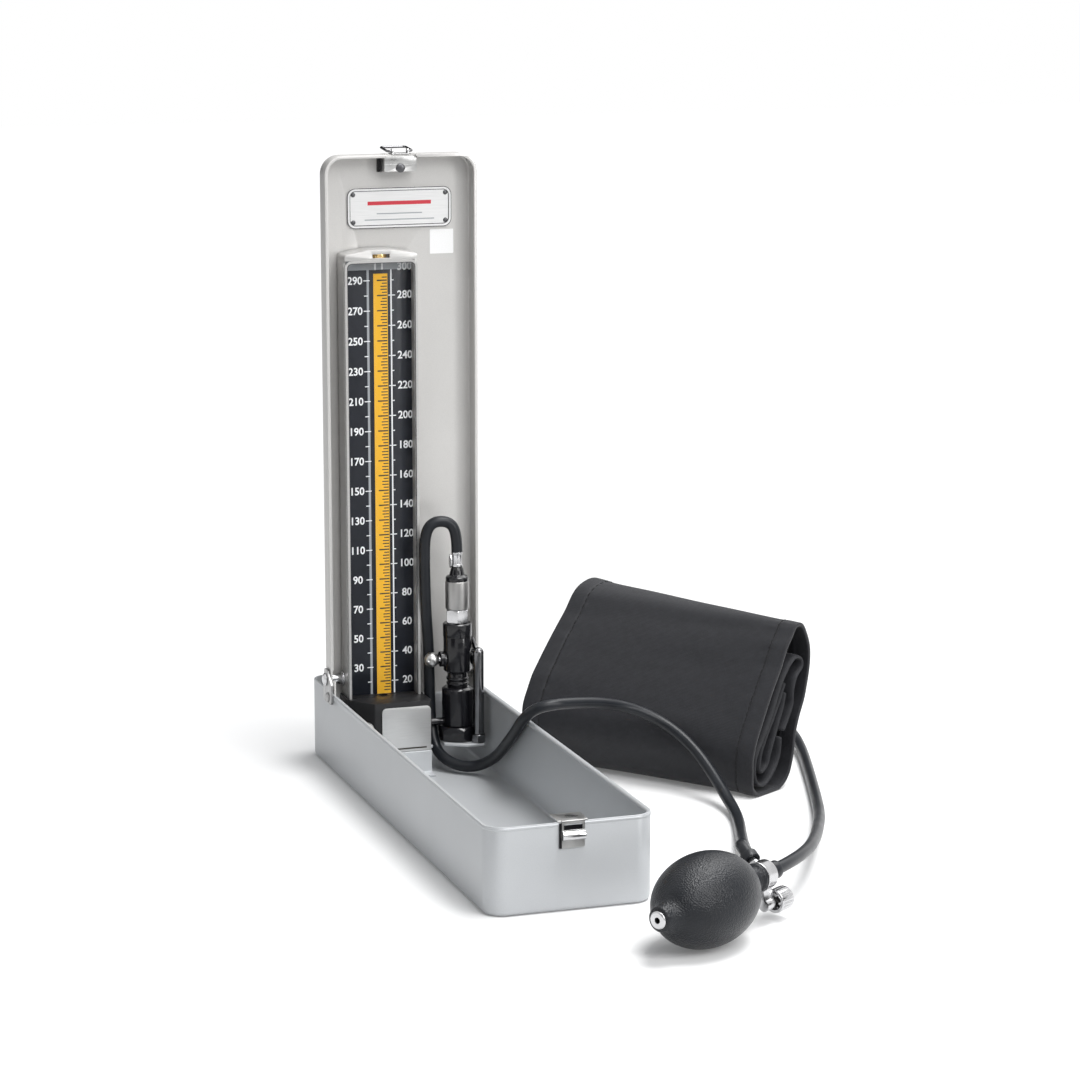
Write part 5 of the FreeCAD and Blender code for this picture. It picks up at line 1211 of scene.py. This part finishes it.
class MANOMETER_OT_valve(bpy.types.Operator):
    """Finishes the inlet, valve body, release knob and hose fittings"""
    bl_idname = "manometer.valve"
    bl_label = "Valve"

    def execute(self, context):
        ease_nodes(VALVE_NODES)
        return {"FINISHED"}


class MANOMETER_OT_bulb(bpy.types.Operator):
    """Turns the pebbled rubber bulb"""
    bl_idname = "manometer.bulb"
    bl_label = "Bulb"

    def execute(self, context):
        rubber = context.scene.manometer_rubber
        bm = lathe(bulb_profile(rubber.bulb / MM, rubber.bulb_half / MM), bulb_frame(), steps=96)
        add_piece("bulb_skin", bm, "bulb_rubber", "case_base", ["bulb"], crease=math.radians(50))
        return {"FINISHED"}


class MANOMETER_OT_cuff(bpy.types.Operator):
    """Rolls the cuff: outer turn with stitched hems, inner turn and folded bladder"""
    bl_idname = "manometer.cuff"
    bl_label = "Cuff"

    def execute(self, context):
        wave = context.scene.manometer_cuff.wave / MM
        near, far = section_line(CUFF_NEAR, True), section_line(CUFF_FAR, True)
        arcs = cloth_band("cuff_outer_turn", "cuff_wrap", near, far, True, cuff_stations(), wave, WRAP_SEED)
        add_piece("cuff_hem_stitches", hem_stitches(near, far, arcs, wave, WRAP_SEED), "thread", "case_base")
        self.fold("cuff_inner_roll", "cuff_inner_turn", INNER_TURN, 1.0, wave, INNER_SEED)
        self.fold("cuff_bladder_fold", "cuff_bladder", BLADDER_FOLD, 3.0, wave, BLADDER_SEED)
        return {"FINISHED"}

    def fold(self, name, node, points, inset, wave, seed):
        """An open turn inside the roll, drawn in from both ends."""
        near, far = section_line(points, False), section_line([carried_far(p) for p in points], False)
        stations = [inset + (CUFF_LENGTH - 2 * inset) * k / FOLD_STEPS for k in range(FOLD_STEPS + 1)]
        cloth_band(name, node, near, far, False, stations, wave * 0.6, seed)


class MANOMETER_OT_hoses(bpy.types.Operator):
    """Lays the gauge hose and the cuff hose"""
    bl_idname = "manometer.hoses"
    bl_label = "Hoses"

    def execute(self, context):
        radius = context.scene.manometer_rubber.hose / 2
        for name, route, node, fitting in (
                ("gauge_hose_laid", GAUGE_ROUTE, "gauge_hose", "hose_collars_finished"),
                ("cuff_hose_laid", CUFF_ROUTE, "cuff_hose", "cuff_connector_finished")):
            bm, line = hose_shape(route, radius)
            hose = add_piece(name, bm, "black_rubber", replaced=[node], crease=math.radians(60))
            if node == "gauge_hose":
                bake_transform(hose)
            else:
                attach(hose, "case_base")
        return {"FINISHED"}


class MANOMETER_PT_panel(bpy.types.Panel):
    """Lists the steps that finish the set"""
    bl_label = "Manometer"
    bl_idname = "MANOMETER_PT_panel"
    bl_space_type = "VIEW_3D"
    bl_region_type = "UI"
    bl_category = "Manometer"

    def draw(self, context):
        for step in STEPS:
            self.layout.operator(step.bl_idname)
        for group in SETTINGS:
            box = self.layout.box()
            settings = getattr(context.scene, group)
            for name in settings.bl_rna.properties.keys():
                if name not in {"rna_type", "name"}:
                    box.prop(settings, name)


SETTINGS = {
    "manometer_paint": PaintSettings, "manometer_scale": ScaleSettings, "manometer_cuff": CuffSettings,
    "manometer_rubber": RubberSettings, "manometer_stage": StageSettings,
}
STEPS = [
    MANOMETER_OT_stage, MANOMETER_OT_case, MANOMETER_OT_fittings, MANOMETER_OT_column, MANOMETER_OT_gauge,
    MANOMETER_OT_scale_print, MANOMETER_OT_plates, MANOMETER_OT_valve, MANOMETER_OT_bulb, MANOMETER_OT_cuff,
    MANOMETER_OT_hoses,
]


def register():
    for group, settings in SETTINGS.items():
        bpy.utils.register_class(settings)
        setattr(bpy.types.Scene, group, PointerProperty(type=settings))
    for item in [*STEPS, MANOMETER_PT_panel]:
        bpy.utils.register_class(item)


def unregister():
    for item in [MANOMETER_PT_panel, *reversed(STEPS)]:
        bpy.utils.unregister_class(item)
    for group, settings in SETTINGS.items():
        delattr(bpy.types.Scene, group)
        bpy.utils.unregister_class(settings)


def main():
    register()
    for step in STEPS:
        group, action = step.bl_idname.split(".")
        getattr(getattr(bpy.ops, group), action)()


if __name__ == "__main__":
    main()
